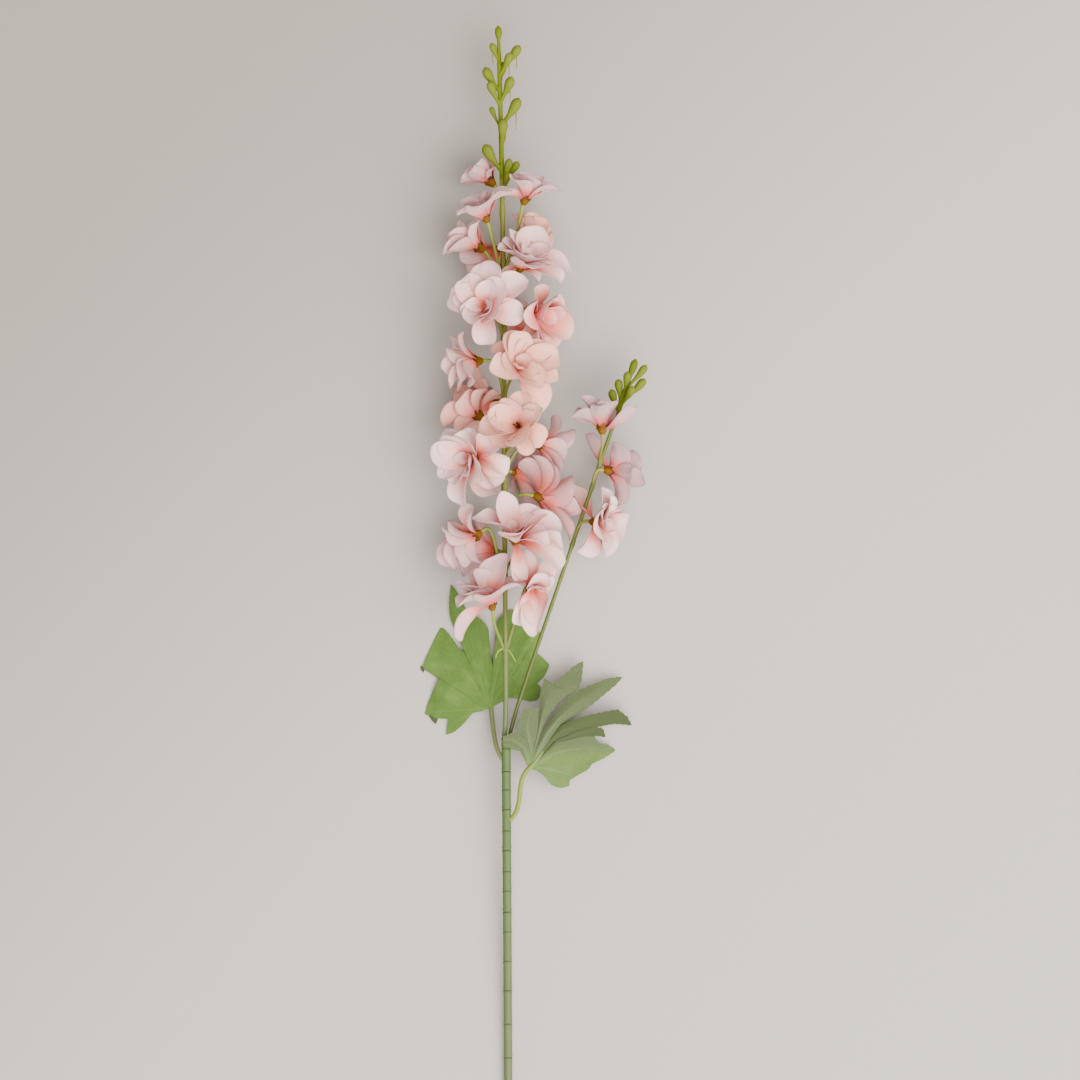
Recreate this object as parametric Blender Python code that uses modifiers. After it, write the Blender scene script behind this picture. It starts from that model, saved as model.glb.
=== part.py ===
"""Artificial delphinium spray: a flower spike, its side branch and two leaves.

The spray lies on a flat surface at Z = 0 with its tip along +Y.  Sizes and places are written in
millimetres, from a point on the surface under the main stem, and each mesh is made in metres.
"""

import math
import random
from collections import namedtuple

import bmesh
import bpy
from mathutils import Matrix, Vector

MM = 0.001

# Places along the main stem, which climbs from its cut end to the height of the spike
CUT_END_Y = -441.0
STEM_TOP_Y = -138.7
STEM_LEVEL_FROM_Y = 29.0
SPIRE_FOOT_Y = 252.0
TIP_Y = 347.0
SPIKE_HEIGHT = 34.0
STEM_MIDDLE_X = -0.78
STEM_LEAN = 0.0055
SPIRE_BEND = 2.35
SPIRE_BEND_FROM_Y = 150.0
BOX_CENTRE = Vector((20.0, -41.0, 0.0))

# The side branch leaves the top of the thick stem with a small elbow
SIDE_FOOT_X = 2.1
SIDE_LEAN = 0.342
SIDE_CLIMB = 0.032
SIDE_ELBOW = 2.0
SIDE_ELBOW_LENGTH = 15.0
FORK_OFFSET_X = -1.3

# Gaps between pieces that touch
SEAT = 0.3
FORK_SEAT = 0.6

# Thickness of stems
STEM_FOOT_RADIUS = 2.8
STEM_FOOT_HEIGHT = 3.2
STEM_TOP_RADIUS = 3.2
SPIKE_STEM_RADIUS = 1.75
SIDE_STEM_RADIUS = 1.35
STALK_RADIUS = 1.15
STALK_COLLAR = 2.0
STALK_SPREAD = 0.35
STALK_PULL = 0.4
STALK_END_PULL = 0.3
BUD_WIDTH_SHARES = (0.24, 0.22, 0.4, 0.95, 1.0, 0.45)
BRACT_RADII = (0.9, 0.95, 0.8, 0.6, 0.35)
BRACTS_Y = -76.0
PETIOLE_RADIUS = 1.45

# Leaf scars on the thick stem
RING_PLACES = (
    -428, -396, -366, -342, -318, -297, -276, -262, -247, -233, -218, -204, -189, -175, -162, -146,
)
RING_PROUD = 0.45
RING_GROOVE = 0.35
RING_HALF = 1.1

# Petals
BLADE = 0.7
PETAL_WIDTH = 0.70
WIDEST = 0.62
TIP_NARROWING = 0.72
TIP_ROUND = 0.14
HOLLOW = 0.22
CUP_BASE_RADIUS = 1.9
CUP_RIM_RADIUS = 4.0
CUP_DEPTH = 6.0
HEART_ABOVE_CUP = 8.0
WELL_OPEN_RISE = 40.0
FACE_DOWN_RISE = -20.0
BEHIND_CUP = 0.4
LAYER_STEP = 0.75
CLEARANCE = 0.45
REACH = 46.0
PRESS_SLIDE = 0.6
PRESS_ROUNDS = 40

# Colours (linear) and roughness of the finishes
STEM_GREEN = ((0.25, 0.30, 0.13), 0.6)
BUD_LIME = ((0.28, 0.33, 0.06), 0.5)
STALK_GREEN = ((0.36, 0.38, 0.13), 0.55)
PETIOLE_GREEN = ((0.47, 0.50, 0.28), 0.6)
LEAF_GREEN = ((0.22, 0.33, 0.11), 0.8)
PETAL_BLUSH = ((0.66, 0.44, 0.41), 0.85)

Bloom = namedtuple("Bloom", "name cup turn rise length foot floor")
Bud = namedtuple("Bud", "head foot width")
Petal = namedtuple("Petal", "turn length base_radius base_height base_rise tip_rise twist layer")
Rod = namedtuple("Rod", "points radius")

# Where each bloom's ochre cup sits, the way it faces (turn in the plane of the surface from +X, and
# rise above it, in degrees), its petals' length, and where its stalk leaves the stem.
BLOOMS = (
    Bloom("bloom_01", (-7.7, 247.8, 30.0), 135, -5, 24, 228, 0),
    Bloom("bloom_02", (11.9, 233.0, 43.0), 70, 10, 24, 198, 0),
    Bloom("bloom_03", (-12.6, 220.5, 45.0), 108, 18, 25, 188, 0),
    Bloom("bloom_04", (-16.8, 206.0, 34.0), 168, 8, 26, 178, 0),
    Bloom("bloom_05", (10.5, 207.0, 25.0), 40, 10, 25, 184, 0),
    Bloom("bloom_06", (8.6, 186.0, 46.0), 62, 42, 28, 164, 0),
    Bloom("bloom_07", (-12.5, 159.8, 52.4), 150, 72, 30, 140, 0),
    Bloom("bloom_08", (16.5, 160.0, 42.0), -20, 30, 29, 146, 0),
    Bloom("bloom_09", (-15.7, 125.0, 40.0), 178, 15, 28, 98, 0),
    Bloom("bloom_10", (6.9, 117.0, 52.5), 50, 66, 30, 96, 0),
    Bloom("bloom_11", (-15.4, 84.7, 36.0), 155, 5, 28, 66, 0),
    Bloom("bloom_12", (12.0, 76.0, 52.5), 140, 60, 29, 56, 0),
    Bloom("bloom_13", (19.0, 67.0, 34.0), -5, 15, 27, 44, 0),
    Bloom("bloom_14", (-18.7, 58.0, 46.0), 187, 48, 30, 38, 0),
    Bloom("bloom_15", (18.9, 30.0, 38.0), -8, 6, 29, 22, 0),
    Bloom("bloom_16", (7.0, -4.0, 52.0), 95, 45, 31, -26, 0),
    Bloom("bloom_17", (-16.8, 6.0, 38.0), 190, 12, 29, -12, 0),
    Bloom("bloom_18", (17.0, -30.4, 44.0), -50, 48, 29, -66, 7),
    Bloom("bloom_19", (-9.1, -49.0, 46.0), 100, 32, 29, -73, 7),
    Bloom("bloom_20", (67.2, 75.0, 45.0), 92, 22, 25, 52, 0),
    Bloom("bloom_21", (70.5, 48.5, 37.0), -10, 10, 25, 37, 0),
    Bloom("bloom_22", (58.5, 13.0, 38.0), -8, 28, 26, -4, 0),
    Bloom("bloom_23", (-5.5, 206.0, 21.0), 215, -48, 24, 192, 0),
    Bloom("bloom_24", (6.0, 142.0, 21.0), 20, -50, 25, 128, 0),
    Bloom("bloom_25", (-7.0, 98.0, 21.0), 190, -52, 25, 84, 0),
    Bloom("bloom_26", (6.5, 48.0, 21.0), -15, -50, 25, 34, 0),
    Bloom("bloom_27", (-6.0, -8.0, 24.0), 170, -30, 25, -28, 4),
)
SIDE_BLOOMS = ("bloom_20", "bloom_21", "bloom_22")

# Closed buds: centre of the head, where the neck leaves the stem (Y), and width of the head.
SPIRE_BUDS = (
    Bud((-8.9, 343.0, 36.0), 334, 5.0),
    Bud((7.0, 340.5, 36.0), 328, 6.5),
    Bud((1.8, 335.0, 39.5), 324, 6.0),
    Bud((-2.6, 330.0, 28.5), 320, 6.5),
    Bud((-12.6, 324.8, 34.0), 313, 7.0),
    Bud((-10.2, 315.0, 38.5), 303, 6.0),
    Bud((2.4, 317.5, 38.5), 306, 7.0),
    Bud((6.6, 303.0, 34.0), 289, 7.6),
    Bud((-10.6, 301.5, 31.0), 290, 7.0),
    Bud((-2.1, 290.0, 39.5), 277, 7.4),
    Bud((-1.0, 283.0, 28.0), 271, 7.4),
    Bud((-12.2, 270.0, 36.0), 258, 8.0),
    Bud((7.0, 266.0, 31.0), 255, 7.4),
)
SIDE_BUDS = (
    Bud((95.6, 118.0, 36.0), 106, 5.6),
    Bud((84.6, 113.0, 37.0), 102, 5.6),
    Bud((94.4, 108.5, 31.5), 97, 6.2),
    Bud((78.9, 107.5, 33.0), 96, 6.0),
    Bud((87.0, 103.0, 39.0), 93, 5.8),
    Bud((74.6, 100.5, 33.5), 90, 6.0),
)

# Leaf outlines, in order round the leaf: X and Y from the leaf's base, and height above the surface.
LEFT_LEAF_BASE = Vector((-11.9, -119.0, 10.0))
LEFT_LEAF_OUTLINE = (
    (-16.0, -11.5, 5.0), (-24.5, -17.5, 2.0), (-30.8, -18.9, 0.8), (-29.0, -7.5, 3.0), (-36.5, -7.4, 1.2),
    (-43.0, -5.6, 0.8), (-46.2, -4.2, 0.4), (-35.5, 21.0, 4.0), (-47.6, 28.6, 0.8), (-35.0, 56.7, 0.8),
    (-30.5, 55.0, 1.6), (-17.5, 38.0, 4.5), (-20.0, 48.0, 3.5), (-28.0, 68.9, 1.2), (-27.5, 87.5, 0.8),
    (-24.2, 84.0, 1.4), (-16.5, 68.9, 2.4), (-7.7, 63.0, 3.0), (-1.0, 56.4, 3.0), (0.7, 49.7, 4.0),
    (2.0, 27.0, 7.0), (4.2, 49.7, 4.0), (6.3, 63.7, 2.6), (16.8, 70.0, 1.6), (18.9, 59.5, 3.0),
    (29.4, 57.4, 1.4), (30.1, 53.9, 2.0), (35.7, 53.9, 1.0), (32.9, 39.2, 2.6), (42.0, 33.6, 0.7),
    (42.0, 31.5, 0.9), (38.5, 21.7, 2.0), (33.3, 17.5, 3.0), (36.4, 11.9, 2.0), (35.7, 6.3, 2.4),
    (28.7, 4.9, 4.0), (14.0, 2.3, 8.0),
)
RIGHT_LEAF_BASE = Vector((15.7, -160.3, 30.0))
RIGHT_LEAF_OUTLINE = (
    (-10.0, 10.5, 31.5), (-16.3, 17.1, 32.5), (-17.6, 23.5, 33.0), (-7.8, 29.8, 34.0), (-2.5, 41.5, 32.0),
    (7.8, 43.0, 30.5), (9.9, 51.0, 28.0), (12.0, 61.5, 25.0), (17.2, 58.8, 25.0), (27.3, 66.5, 18.0),
    (38.2, 74.9, 11.0), (35.5, 65.0, 15.0), (17.0, 31.0, 28.0), (31.5, 56.0, 19.0), (45.2, 57.1, 16.0),
    (51.5, 61.0, 12.0), (66.4, 63.4, 5.0), (58.6, 54.0, 9.0), (26.0, 23.9, 27.0), (46.6, 38.5, 21.0),
    (62.0, 40.6, 13.0), (68.0, 37.6, 9.0), (72.7, 29.0, 3.0), (53.9, 21.4, 12.0), (23.0, 9.0, 27.0),
    (49.4, 18.2, 10.0), (57.0, 15.0, 4.0), (61.3, 11.2, 0.8), (44.5, 2.5, 9.0), (40.6, -2.1, 9.0),
    (30.5, -6.3, 14.0), (29.0, -12.6, 11.0), (23.5, -14.4, 13.0), (17.2, -12.6, 18.0),
)
LEAF_ROWS = (0.05, 0.5, 1.0)
LEAF_ARCH = 1.4

# Places along each stem where its centre line is set out
FLOWER_STEM_STATIONS = (
    STEM_TOP_Y + FORK_SEAT, -126, -100, -60, -14, 29, 80, 130, 180, 220, SPIRE_FOOT_Y - SEAT,
)
SIDE_BRANCH_STATIONS = (STEM_TOP_Y + FORK_SEAT, -126, -110, -90, -60, -30, 0, 30, 60, 78)
SPIRE_STATIONS = (
    (SPIRE_FOOT_Y, 1.75), (275, 1.7), (300, 1.5), (325, 1.3), (340, 1.1), (345.5, 1.3),
    (TIP_Y, 2.3), (TIP_Y + 4.0, 2.7), (TIP_Y + 9.0, 2.3), (TIP_Y + 12.0, 1.0),
)
SIDE_TIP_STATIONS = (
    (78.3, 1.35), (90, 1.4), (104, 1.2), (112, 1.0), (116, 1.9), (119.5, 2.6), (123.5, 2.3), (126.5, 1.0),
)


def clear_scene():
    """Remove the objects that a new file starts with."""
    for obj in list(bpy.data.objects):
        bpy.data.objects.remove(obj, do_unlink=True)


def material(name, look):
    """A plain, non-metallic finish."""
    colour, roughness = look
    finish = bpy.data.materials.new(name)
    finish.use_nodes = True
    shader = finish.node_tree.nodes["Principled BSDF"]
    shader.inputs["Base Color"].default_value = (*colour, 1.0)
    shader.inputs["Roughness"].default_value = roughness
    shader.inputs["Metallic"].default_value = 0.0
    finish.diffuse_color = (*colour, 1.0)
    return finish


def stem_x(y):
    """Sideways place of the main stem, which leans slightly to the left towards its tip."""
    bent = max(0.0, y - SPIRE_BEND_FROM_Y) / (TIP_Y - SPIRE_BEND_FROM_Y)
    return STEM_MIDDLE_X - STEM_LEAN * y - SPIRE_BEND * bent ** 2


def stem_z(y):
    """Height of the main stem's centre: on the surface at its cut end, and level along the spike."""
    part = min(1.0, max(0.0, (y - CUT_END_Y) / (STEM_LEVEL_FROM_Y - CUT_END_Y)))
    ease = math.sin(0.5 * math.pi * part) ** 2
    return STEM_FOOT_HEIGHT + (SPIKE_HEIGHT - STEM_FOOT_HEIGHT) * ease


def stem_point(y):
    """Centre of the main stem at a place along it."""
    return Vector((stem_x(y), y, stem_z(y)))


def side_point(y):
    """Centre of the side branch, which leaves the main stem's top and leans away from it."""
    along = y - STEM_TOP_Y
    x = SIDE_FOOT_X + SIDE_LEAN * along - SIDE_ELBOW * (1.0 - math.exp(-along / SIDE_ELBOW_LENGTH))
    z = stem_z(STEM_TOP_Y) + SIDE_CLIMB * along
    return Vector((x, y, z))


def bezier(start, start_pull, end_pull, end, steps):
    """Points along one cubic curve."""
    points = []
    for step in range(steps + 1):
        t = step / steps
        s = 1.0 - t
        points.append(start * s ** 3 + start_pull * 3 * s * s * t + end_pull * 3 * s * t * t + end * t ** 3)
    return points


def facing(bloom):
    """Unit vector that a bloom looks along."""
    turn = math.radians(bloom.turn)
    rise = math.radians(bloom.rise)
    return Vector((math.cos(turn) * math.cos(rise), math.sin(turn) * math.cos(rise), math.sin(rise)))


def heart(bloom):
    """Middle of a bloom, inside its petals."""
    return Vector(bloom.cup) + facing(bloom) * HEART_ABOVE_CUP


def stalk_points(bloom):
    """Centre line of a bloom's stalk, from inside the stem to just under the bloom's cup."""
    foot = side_point(bloom.foot) if bloom.name in SIDE_BLOOMS else stem_point(bloom.foot)
    end = Vector(bloom.cup) - facing(bloom) * SEAT
    span = (end - foot).length
    outward = (end - foot).normalized()
    along_stem = Vector((0, 1, 0))
    leave = foot + along_stem.lerp(outward, STALK_SPREAD).normalized() * span * STALK_PULL
    collar = end - facing(bloom) * STALK_COLLAR
    arrive = collar - facing(bloom) * span * STALK_END_PULL
    return bezier(foot, leave, arrive, collar, 3) + [end]


def bud_points(bud, stem):
    """Centre line of a bud, from inside the stem to the end of its head."""
    foot = stem(bud.foot)
    head = Vector(bud.head)
    aim = (head - foot).normalized()
    tip = head + (aim + Vector((0, 0.6, 0))).normalized() * bud.width * 0.85
    return bezier(foot, foot + (head - foot) * 0.45, head - (tip - head) * 0.6, tip, 5)


def bud_radii(bud):
    """A thin neck, then a club-shaped head with a blunt end."""
    return [share * bud.width * 0.5 for share in BUD_WIDTH_SHARES]


def tube(name, points, radii, sides=6):
    """A closed round tube along points, as a mesh object, with a radius at each point."""
    curve = bpy.data.curves.new(name, "CURVE")
    curve.dimensions = "3D"
    curve.bevel_depth = MM
    curve.bevel_resolution = (sides - 4) // 2
    curve.use_fill_caps = True
    spline = curve.splines.new("POLY")
    spline.points.add(len(points) - 1)
    for target, point, radius in zip(spline.points, points, radii):
        target.co = (*(point - points[0]) * MM, 1.0)
        target.radius = radius
    path = bpy.data.objects.new(name, curve)
    path.location = points[0] * MM
    bpy.context.scene.collection.objects.link(path)
    graph = bpy.context.evaluated_depsgraph_get()
    mesh = bpy.data.meshes.new_from_object(path.evaluated_get(graph))
    solid = bpy.data.objects.new(name, mesh)
    solid.matrix_world = path.matrix_world
    bpy.context.scene.collection.objects.link(solid)
    bpy.data.objects.remove(path)
    bpy.data.curves.remove(curve)
    bm = bmesh.new()
    bm.from_mesh(mesh)
    bmesh.ops.remove_doubles(bm, verts=bm.verts, dist=1e-6)
    bmesh.ops.recalc_face_normals(bm, faces=bm.faces)
    bm.to_mesh(mesh)
    bm.free()
    return solid


def keep_largest_body(mesh):
    """Drop any loose scrap or sealed pocket that a union leaves beside the main body."""
    bm = bmesh.new()
    bm.from_mesh(mesh)
    unseen = set(bm.faces)
    bodies = []
    while unseen:
        body = [unseen.pop()]
        for face in body:
            for edge in face.edges:
                for other in edge.link_faces:
                    if other in unseen:
                        unseen.remove(other)
                        body.append(other)
        bodies.append(body)
    bodies.sort(key=len)
    scraps = [face for body in bodies[:-1] for face in body]
    bmesh.ops.delete(bm, geom=scraps, context="FACES")
    bm.to_mesh(mesh)
    bm.free()


def fuse(name, pieces):
    """Join closed pieces into one body, which keeps the first piece's place."""
    body = pieces[0]
    group = bpy.data.collections.new(name + "_repeats")
    bpy.context.scene.collection.children.link(group)
    for piece in pieces[1:]:
        bpy.context.scene.collection.objects.unlink(piece)
        group.objects.link(piece)
    union = body.modifiers.new("Union", "BOOLEAN")
    union.operation = "UNION"
    union.operand_type = "COLLECTION"
    union.collection = group
    graph = bpy.context.evaluated_depsgraph_get()
    joined = bpy.data.meshes.new_from_object(body.evaluated_get(graph))
    body.modifiers.clear()
    body.data = joined
    for piece in pieces[1:]:
        bpy.data.objects.remove(piece, do_unlink=True)
    bpy.data.collections.remove(group)
    keep_largest_body(joined)
    body.name = name
    return body


def finish(obj, name, finish_material, collection, root):
    """Name, dress and file one finished node."""
    obj.name = name
    obj.data.name = name
    obj.data.materials.clear()
    obj.data.materials.append(finish_material)
    obj.data.shade_smooth()
    obj.data.set_sharp_from_angle(angle=math.radians(38))
    for other in list(obj.users_collection):
        other.objects.unlink(obj)
    collection.objects.link(obj)
    obj.parent = root


def lower_stem():
    """The thick stem, with a flared, grooved scar at each old leaf."""
    stations = [(CUT_END_Y, 1.0)]
    for y in RING_PLACES:
        stations.append((y - RING_HALF, 1.0 + RING_PROUD / STEM_TOP_RADIUS))
        stations.append((y, 1.0 - RING_GROOVE / STEM_TOP_RADIUS))
        stations.append((y + 2.0 * RING_HALF, 1.0))
    stations.append((STEM_TOP_Y, 1.06))
    points = [stem_point(y) for y, share in stations]
    radii = []
    for y, share in stations:
        part = (y - CUT_END_Y) / (STEM_TOP_Y - CUT_END_Y)
        radii.append(share * (STEM_FOOT_RADIUS + (STEM_TOP_RADIUS - STEM_FOOT_RADIUS) * part))
    return tube("lower_stem", points, radii, sides=8)


def bract(start, pull, end):
    """A small pointed bract that curls off the stem."""
    points = bezier(start, start + pull * 0.5, start + pull, end, 4)
    return tube("bract", points, BRACT_RADII)


def flower_stem():
    """The stem of the main spike, with the stalks of its blooms and two small bracts."""
    shift = Vector((FORK_OFFSET_X, 0.0, 0.0))
    points = [stem_point(y) for y in FLOWER_STEM_STATIONS]
    points[0] += shift
    points[1] += shift * 0.4
    pieces = [tube("flower_stem", points, [SPIKE_STEM_RADIUS] * len(points))]
    for bloom in BLOOMS:
        if bloom.name in SIDE_BLOOMS:
            continue
        path = stalk_points(bloom)
        pieces.append(tube("stalk", path, [STALK_RADIUS] * len(path)))
    scar = stem_point(BRACTS_Y)
    pieces.append(bract(scar, Vector((-5.5, 1.5, 2.0)), scar + Vector((-6.5, -6.0, 2.5))))
    pieces.append(bract(scar, Vector((5.5, 1.0, 3.5)), scar + Vector((8.0, -8.5, 4.0))))
    return fuse("flower_stem", pieces)


def side_branch():
    """The thin side stem, with the stalks of its three blooms."""
    points = [side_point(y) for y in SIDE_BRANCH_STATIONS]
    pieces = [tube("side_branch", points, [SIDE_STEM_RADIUS] * len(points))]
    for bloom in BLOOMS:
        if bloom.name in SIDE_BLOOMS:
            path = stalk_points(bloom)
            pieces.append(tube("stalk", path, [STALK_RADIUS] * len(path)))
    return fuse("side_branch", pieces)


def bud_tip(name, stem, stations, buds):
    """A moulded tip: a tapering stem with closed buds all round it and one at its end."""
    points = [stem(y) for y, radius in stations]
    radii = [radius for y, radius in stations]
    pieces = [tube(name, points, radii, sides=8)]
    pieces += [tube("bud", bud_points(bud, stem), bud_radii(bud)) for bud in buds]
    return fuse(name, pieces)


def bud_spire():
    """The tip of the main spike."""
    return bud_tip("bud_spire", stem_point, SPIRE_STATIONS, SPIRE_BUDS)


def side_bud_tip():
    """The tip of the side branch."""
    return bud_tip("side_bud_tip", side_point, SIDE_TIP_STATIONS, SIDE_BUDS)


def blade(name, across, along, place):
    """A thin closed sheet: a grid bent to shape, cut into triangles, then given its thickness."""
    bm = bmesh.new()
    bmesh.ops.create_grid(bm, x_segments=across, y_segments=along, size=1.0)
    for vert in bm.verts:
        vert.co = place(vert.co.x, 0.5 * (vert.co.y + 1.0)) * MM
    bmesh.ops.remove_doubles(bm, verts=bm.verts, dist=0.01 * MM)
    bmesh.ops.triangulate(bm, faces=bm.faces, quad_method="SHORT_EDGE")
    mesh = bpy.data.meshes.new(name)
    bm.to_mesh(mesh)
    bm.free()
    sheet = bpy.data.objects.new(name, mesh)
    bpy.context.scene.collection.objects.link(sheet)
    wall = sheet.modifiers.new("Wall", "SOLIDIFY")
    wall.thickness = BLADE * MM
    wall.offset = 0.0
    return sheet


def leaf(name, base, outline):
    """A palmate leaf: rays from its base to the outline, which droop towards the tips of the lobes."""
    last = len(outline) - 1

    def place(across, along):
        column = round(0.5 * (across + 1.0) * last)
        row = LEAF_ROWS[round(along * (len(LEAF_ROWS) - 1))]
        x, y, height = outline[column]
        drop = (base.z - height) * row ** LEAF_ARCH
        return Vector((x * row, y * row, -drop))

    sheet = blade(name, last, len(LEAF_ROWS) - 1, place)
    sheet.location = base * MM
    graph = bpy.context.evaluated_depsgraph_get()
    sheet.data = bpy.data.meshes.new_from_object(sheet.evaluated_get(graph))
    sheet.modifiers.clear()
    return sheet


def petiole_left():
    """Stalk of the left leaf, from the stem's side to under the leaf's base."""
    start = stem_point(-153.0) + Vector((-4.1, 0.0, -0.3))
    under = LEFT_LEAF_BASE + Vector((1.0, 2.0, -2.6))
    points = bezier(start, start + Vector((-8.0, 2.0, -2.0)), under + Vector((-1.0, -16.0, 3.0)), under, 7)
    return tube("petiole_left", points, [PETIOLE_RADIUS] * len(points))


def petiole_right():
    """Stalk of the right leaf, which runs on as a rib along the leaf's upper face."""
    start = stem_point(-196.0) + Vector((4.35, 0.0, 0.4))
    over = RIGHT_LEAF_BASE + Vector((0.0, 0.0, 2.4))
    points = bezier(start, start + Vector((6.0, 3.0, 3.0)), over + Vector((-9.0, -14.0, 0.0)), over, 7)
    points.append(over + Vector((8.5, 9.0, 0.2)))
    points.append(over + Vector((17.0, 22.0, -0.4)))
    radii = [PETIOLE_RADIUS] * (len(points) - 3) + [1.3, 1.0, 0.7]
    return tube("petiole_right", points, radii)


def petals(bloom, seed):
    """The petals of one bloom: an outer ring that overlaps like a pinwheel, and a steeper inner ring."""
    rng = random.Random(seed)
    blades = []
    start = rng.uniform(0.0, 60.0)
    outer = 6 if bloom.rise > WELL_OPEN_RISE else 5
    for index in range(outer):
        blades.append(Petal(
            turn=start + 360.0 * index / outer + rng.uniform(-5.0, 5.0),
            length=bloom.length * rng.uniform(0.94, 1.05),
            base_radius=1.7,
            base_height=3.0,
            base_rise=58.0,
            tip_rise=rng.uniform(-6.0, 10.0),
            twist=18.0 + rng.uniform(-3.0, 3.0),
            layer=index % 3,
        ))
    inner = 3 if bloom.rise > FACE_DOWN_RISE else 0
    for index in range(inner):
        blades.append(Petal(
            turn=start + 30.0 + 120.0 * index + rng.uniform(-8.0, 8.0),
            length=bloom.length * rng.uniform(0.60, 0.70),
            base_radius=1.2,
            base_height=4.2,
            base_rise=82.0,
            tip_rise=44.0 + rng.uniform(-8.0, 10.0),
            twist=8.0 + rng.uniform(-4.0, 4.0),
            layer=3,
        ))
    return blades


def petal_half_width(along):
    """Half width as a share of the greatest, from the pointed base to the round tip."""
    if along < WIDEST:
        return math.sin(0.5 * math.pi * along / WIDEST)
    past = (along - WIDEST) / (1.0 - WIDEST)
    return math.sqrt(1.0 - TIP_NARROWING * past * past)


def petal_point(petal, across, along):
    """A point of a petal's middle surface, with the bloom looking along +Z from the floor of its cup."""
    along *= 1.0 - TIP_ROUND * across * across * along ** 3
    base = math.radians(petal.base_rise)
    bend = math.radians(petal.tip_rise) - base
    slope = base + bend * along
    reach = petal.base_radius + petal.length * (math.sin(slope) - math.sin(base)) / bend
    lift = petal.base_height + petal.length * (math.cos(base) - math.cos(slope)) / bend
    half = 0.5 * PETAL_WIDTH * petal.length * petal_half_width(along)
    twist = math.radians(petal.twist) * math.sin(math.pi * min(1.0, along + 0.15))
    side = across * half
    inward = side * math.sin(twist) + HOLLOW * half * across * across
    radial = reach - inward * math.sin(slope)
    height = lift + inward * math.cos(slope)
    sideways = side * math.cos(twist)
    turn = math.radians(petal.turn)
    x = radial * math.cos(turn) - sideways * math.sin(turn)
    y = radial * math.sin(turn) + sideways * math.cos(turn)
    return Vector((x, y, height))


def nearest_on(rod, point):
    """The nearest point to another on a rod's centre line."""
    best = None
    for first, second in zip(rod.points, rod.points[1:]):
        run = second - first
        share = max(0.0, min(1.0, (point - first).dot(run) / run.length_squared))
        candidate = first + run * share
        if best is None or (candidate - point).length < (best - point).length:
            best = candidate
    return best


def room(bloom, rods):
    """Half spaces that hold one bloom: above the surface, and clear of other blooms and stems."""
    middle = heart(bloom)
    walls = [(Vector((0, 0, 1)), float(bloom.floor) - CLEARANCE)]
    walls.append((facing(bloom), facing(bloom).dot(Vector(bloom.cup)) + BEHIND_CUP))
    for other in BLOOMS:
        apart = middle - heart(other)
        if other is bloom or apart.length > 2 * REACH:
            continue
        normal = apart.normalized()
        walls.append((normal, normal.dot(middle) - 0.5 * apart.length))
    for owner, rod in rods:
        near = nearest_on(rod, middle)
        apart = middle - near
        if owner == bloom.name or apart.length > REACH:
            continue
        normal = apart.normalized()
        close = [point for point in rod.points if (point - near).length < REACH] + [near]
        edge = max(normal.dot(point) for point in close) + rod.radius
        limit = normal.dot(middle) - CUP_RIM_RADIUS - CLEARANCE
        walls.append((normal, min(edge, limit)))
    return walls


def pressed(point, bloom, walls, layer):
    """Where a petal's point ends up when what it presses on bends it aside."""
    margin = CLEARANCE + 0.5 * BLADE + LAYER_STEP * layer
    look = facing(bloom)
    for normal, edge in walls:
        short = edge + margin - normal.dot(point)
        if short > 0.0:
            slide = look - normal * look.dot(normal)
            point = point + normal * short
            if slide.length > 0.3:
                point = point + slide.normalized() * short * PRESS_SLIDE
    for repeat in range(PRESS_ROUNDS):
        for normal, edge in walls:
            short = edge + margin - normal.dot(point)
            if short > 0.0:
                point = point + normal * short
    return point


def cup(bloom, upright):
    """The small ochre cup that a bloom's petals grow from."""
    bm = bmesh.new()
    bmesh.ops.create_cone(
        bm, cap_ends=True, segments=6,
        radius1=CUP_BASE_RADIUS * MM, radius2=CUP_RIM_RADIUS * MM, depth=CUP_DEPTH * MM,
        matrix=upright @ Matrix.Translation((0, 0, 0.5 * CUP_DEPTH * MM)),
    )
    mesh = bpy.data.meshes.new(bloom.name)
    bm.to_mesh(mesh)
    bm.free()
    body = bpy.data.objects.new(bloom.name, mesh)
    bpy.context.scene.collection.objects.link(body)
    return body


def bloom_body(bloom, seed, rods):
    """One bloom: petals and cup in one body, with its own origin at the cup's foot."""
    foot = Vector(bloom.cup)
    upright = facing(bloom).to_track_quat("Z", "Y").to_matrix().to_4x4()
    walls = room(bloom, rods)
    pieces = [cup(bloom, upright)]
    for petal in petals(bloom, seed):

        def place(across, along, petal=petal):
            point = foot + upright @ petal_point(petal, across, along)
            if along > 0.05:
                point = pressed(point, bloom, walls, petal.layer)
            return point - foot

        pieces.append(blade("petal", 2, 2, place))
    for piece in pieces:
        piece.location = foot * MM
    return fuse(bloom.name, pieces)


def stem_rods():
    """Stems, stalks and buds that the petals stay clear of, each with the bloom that it carries."""
    rods = [("", Rod([stem_point(y) for y in range(-130, 355, 12)], SPIKE_STEM_RADIUS))]
    rods.append(("", Rod([side_point(y) for y in range(-120, 128, 12)], SIDE_STEM_RADIUS)))
    for bloom in BLOOMS:
        rods.append((bloom.name, Rod(stalk_points(bloom), STALK_RADIUS)))
    for bud in SPIRE_BUDS:
        rods.append(("", Rod(bud_points(bud, stem_point)[2:], 0.5 * bud.width)))
    for bud in SIDE_BUDS:
        rods.append(("", Rod(bud_points(bud, side_point)[2:], 0.5 * bud.width)))
    return rods


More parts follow.
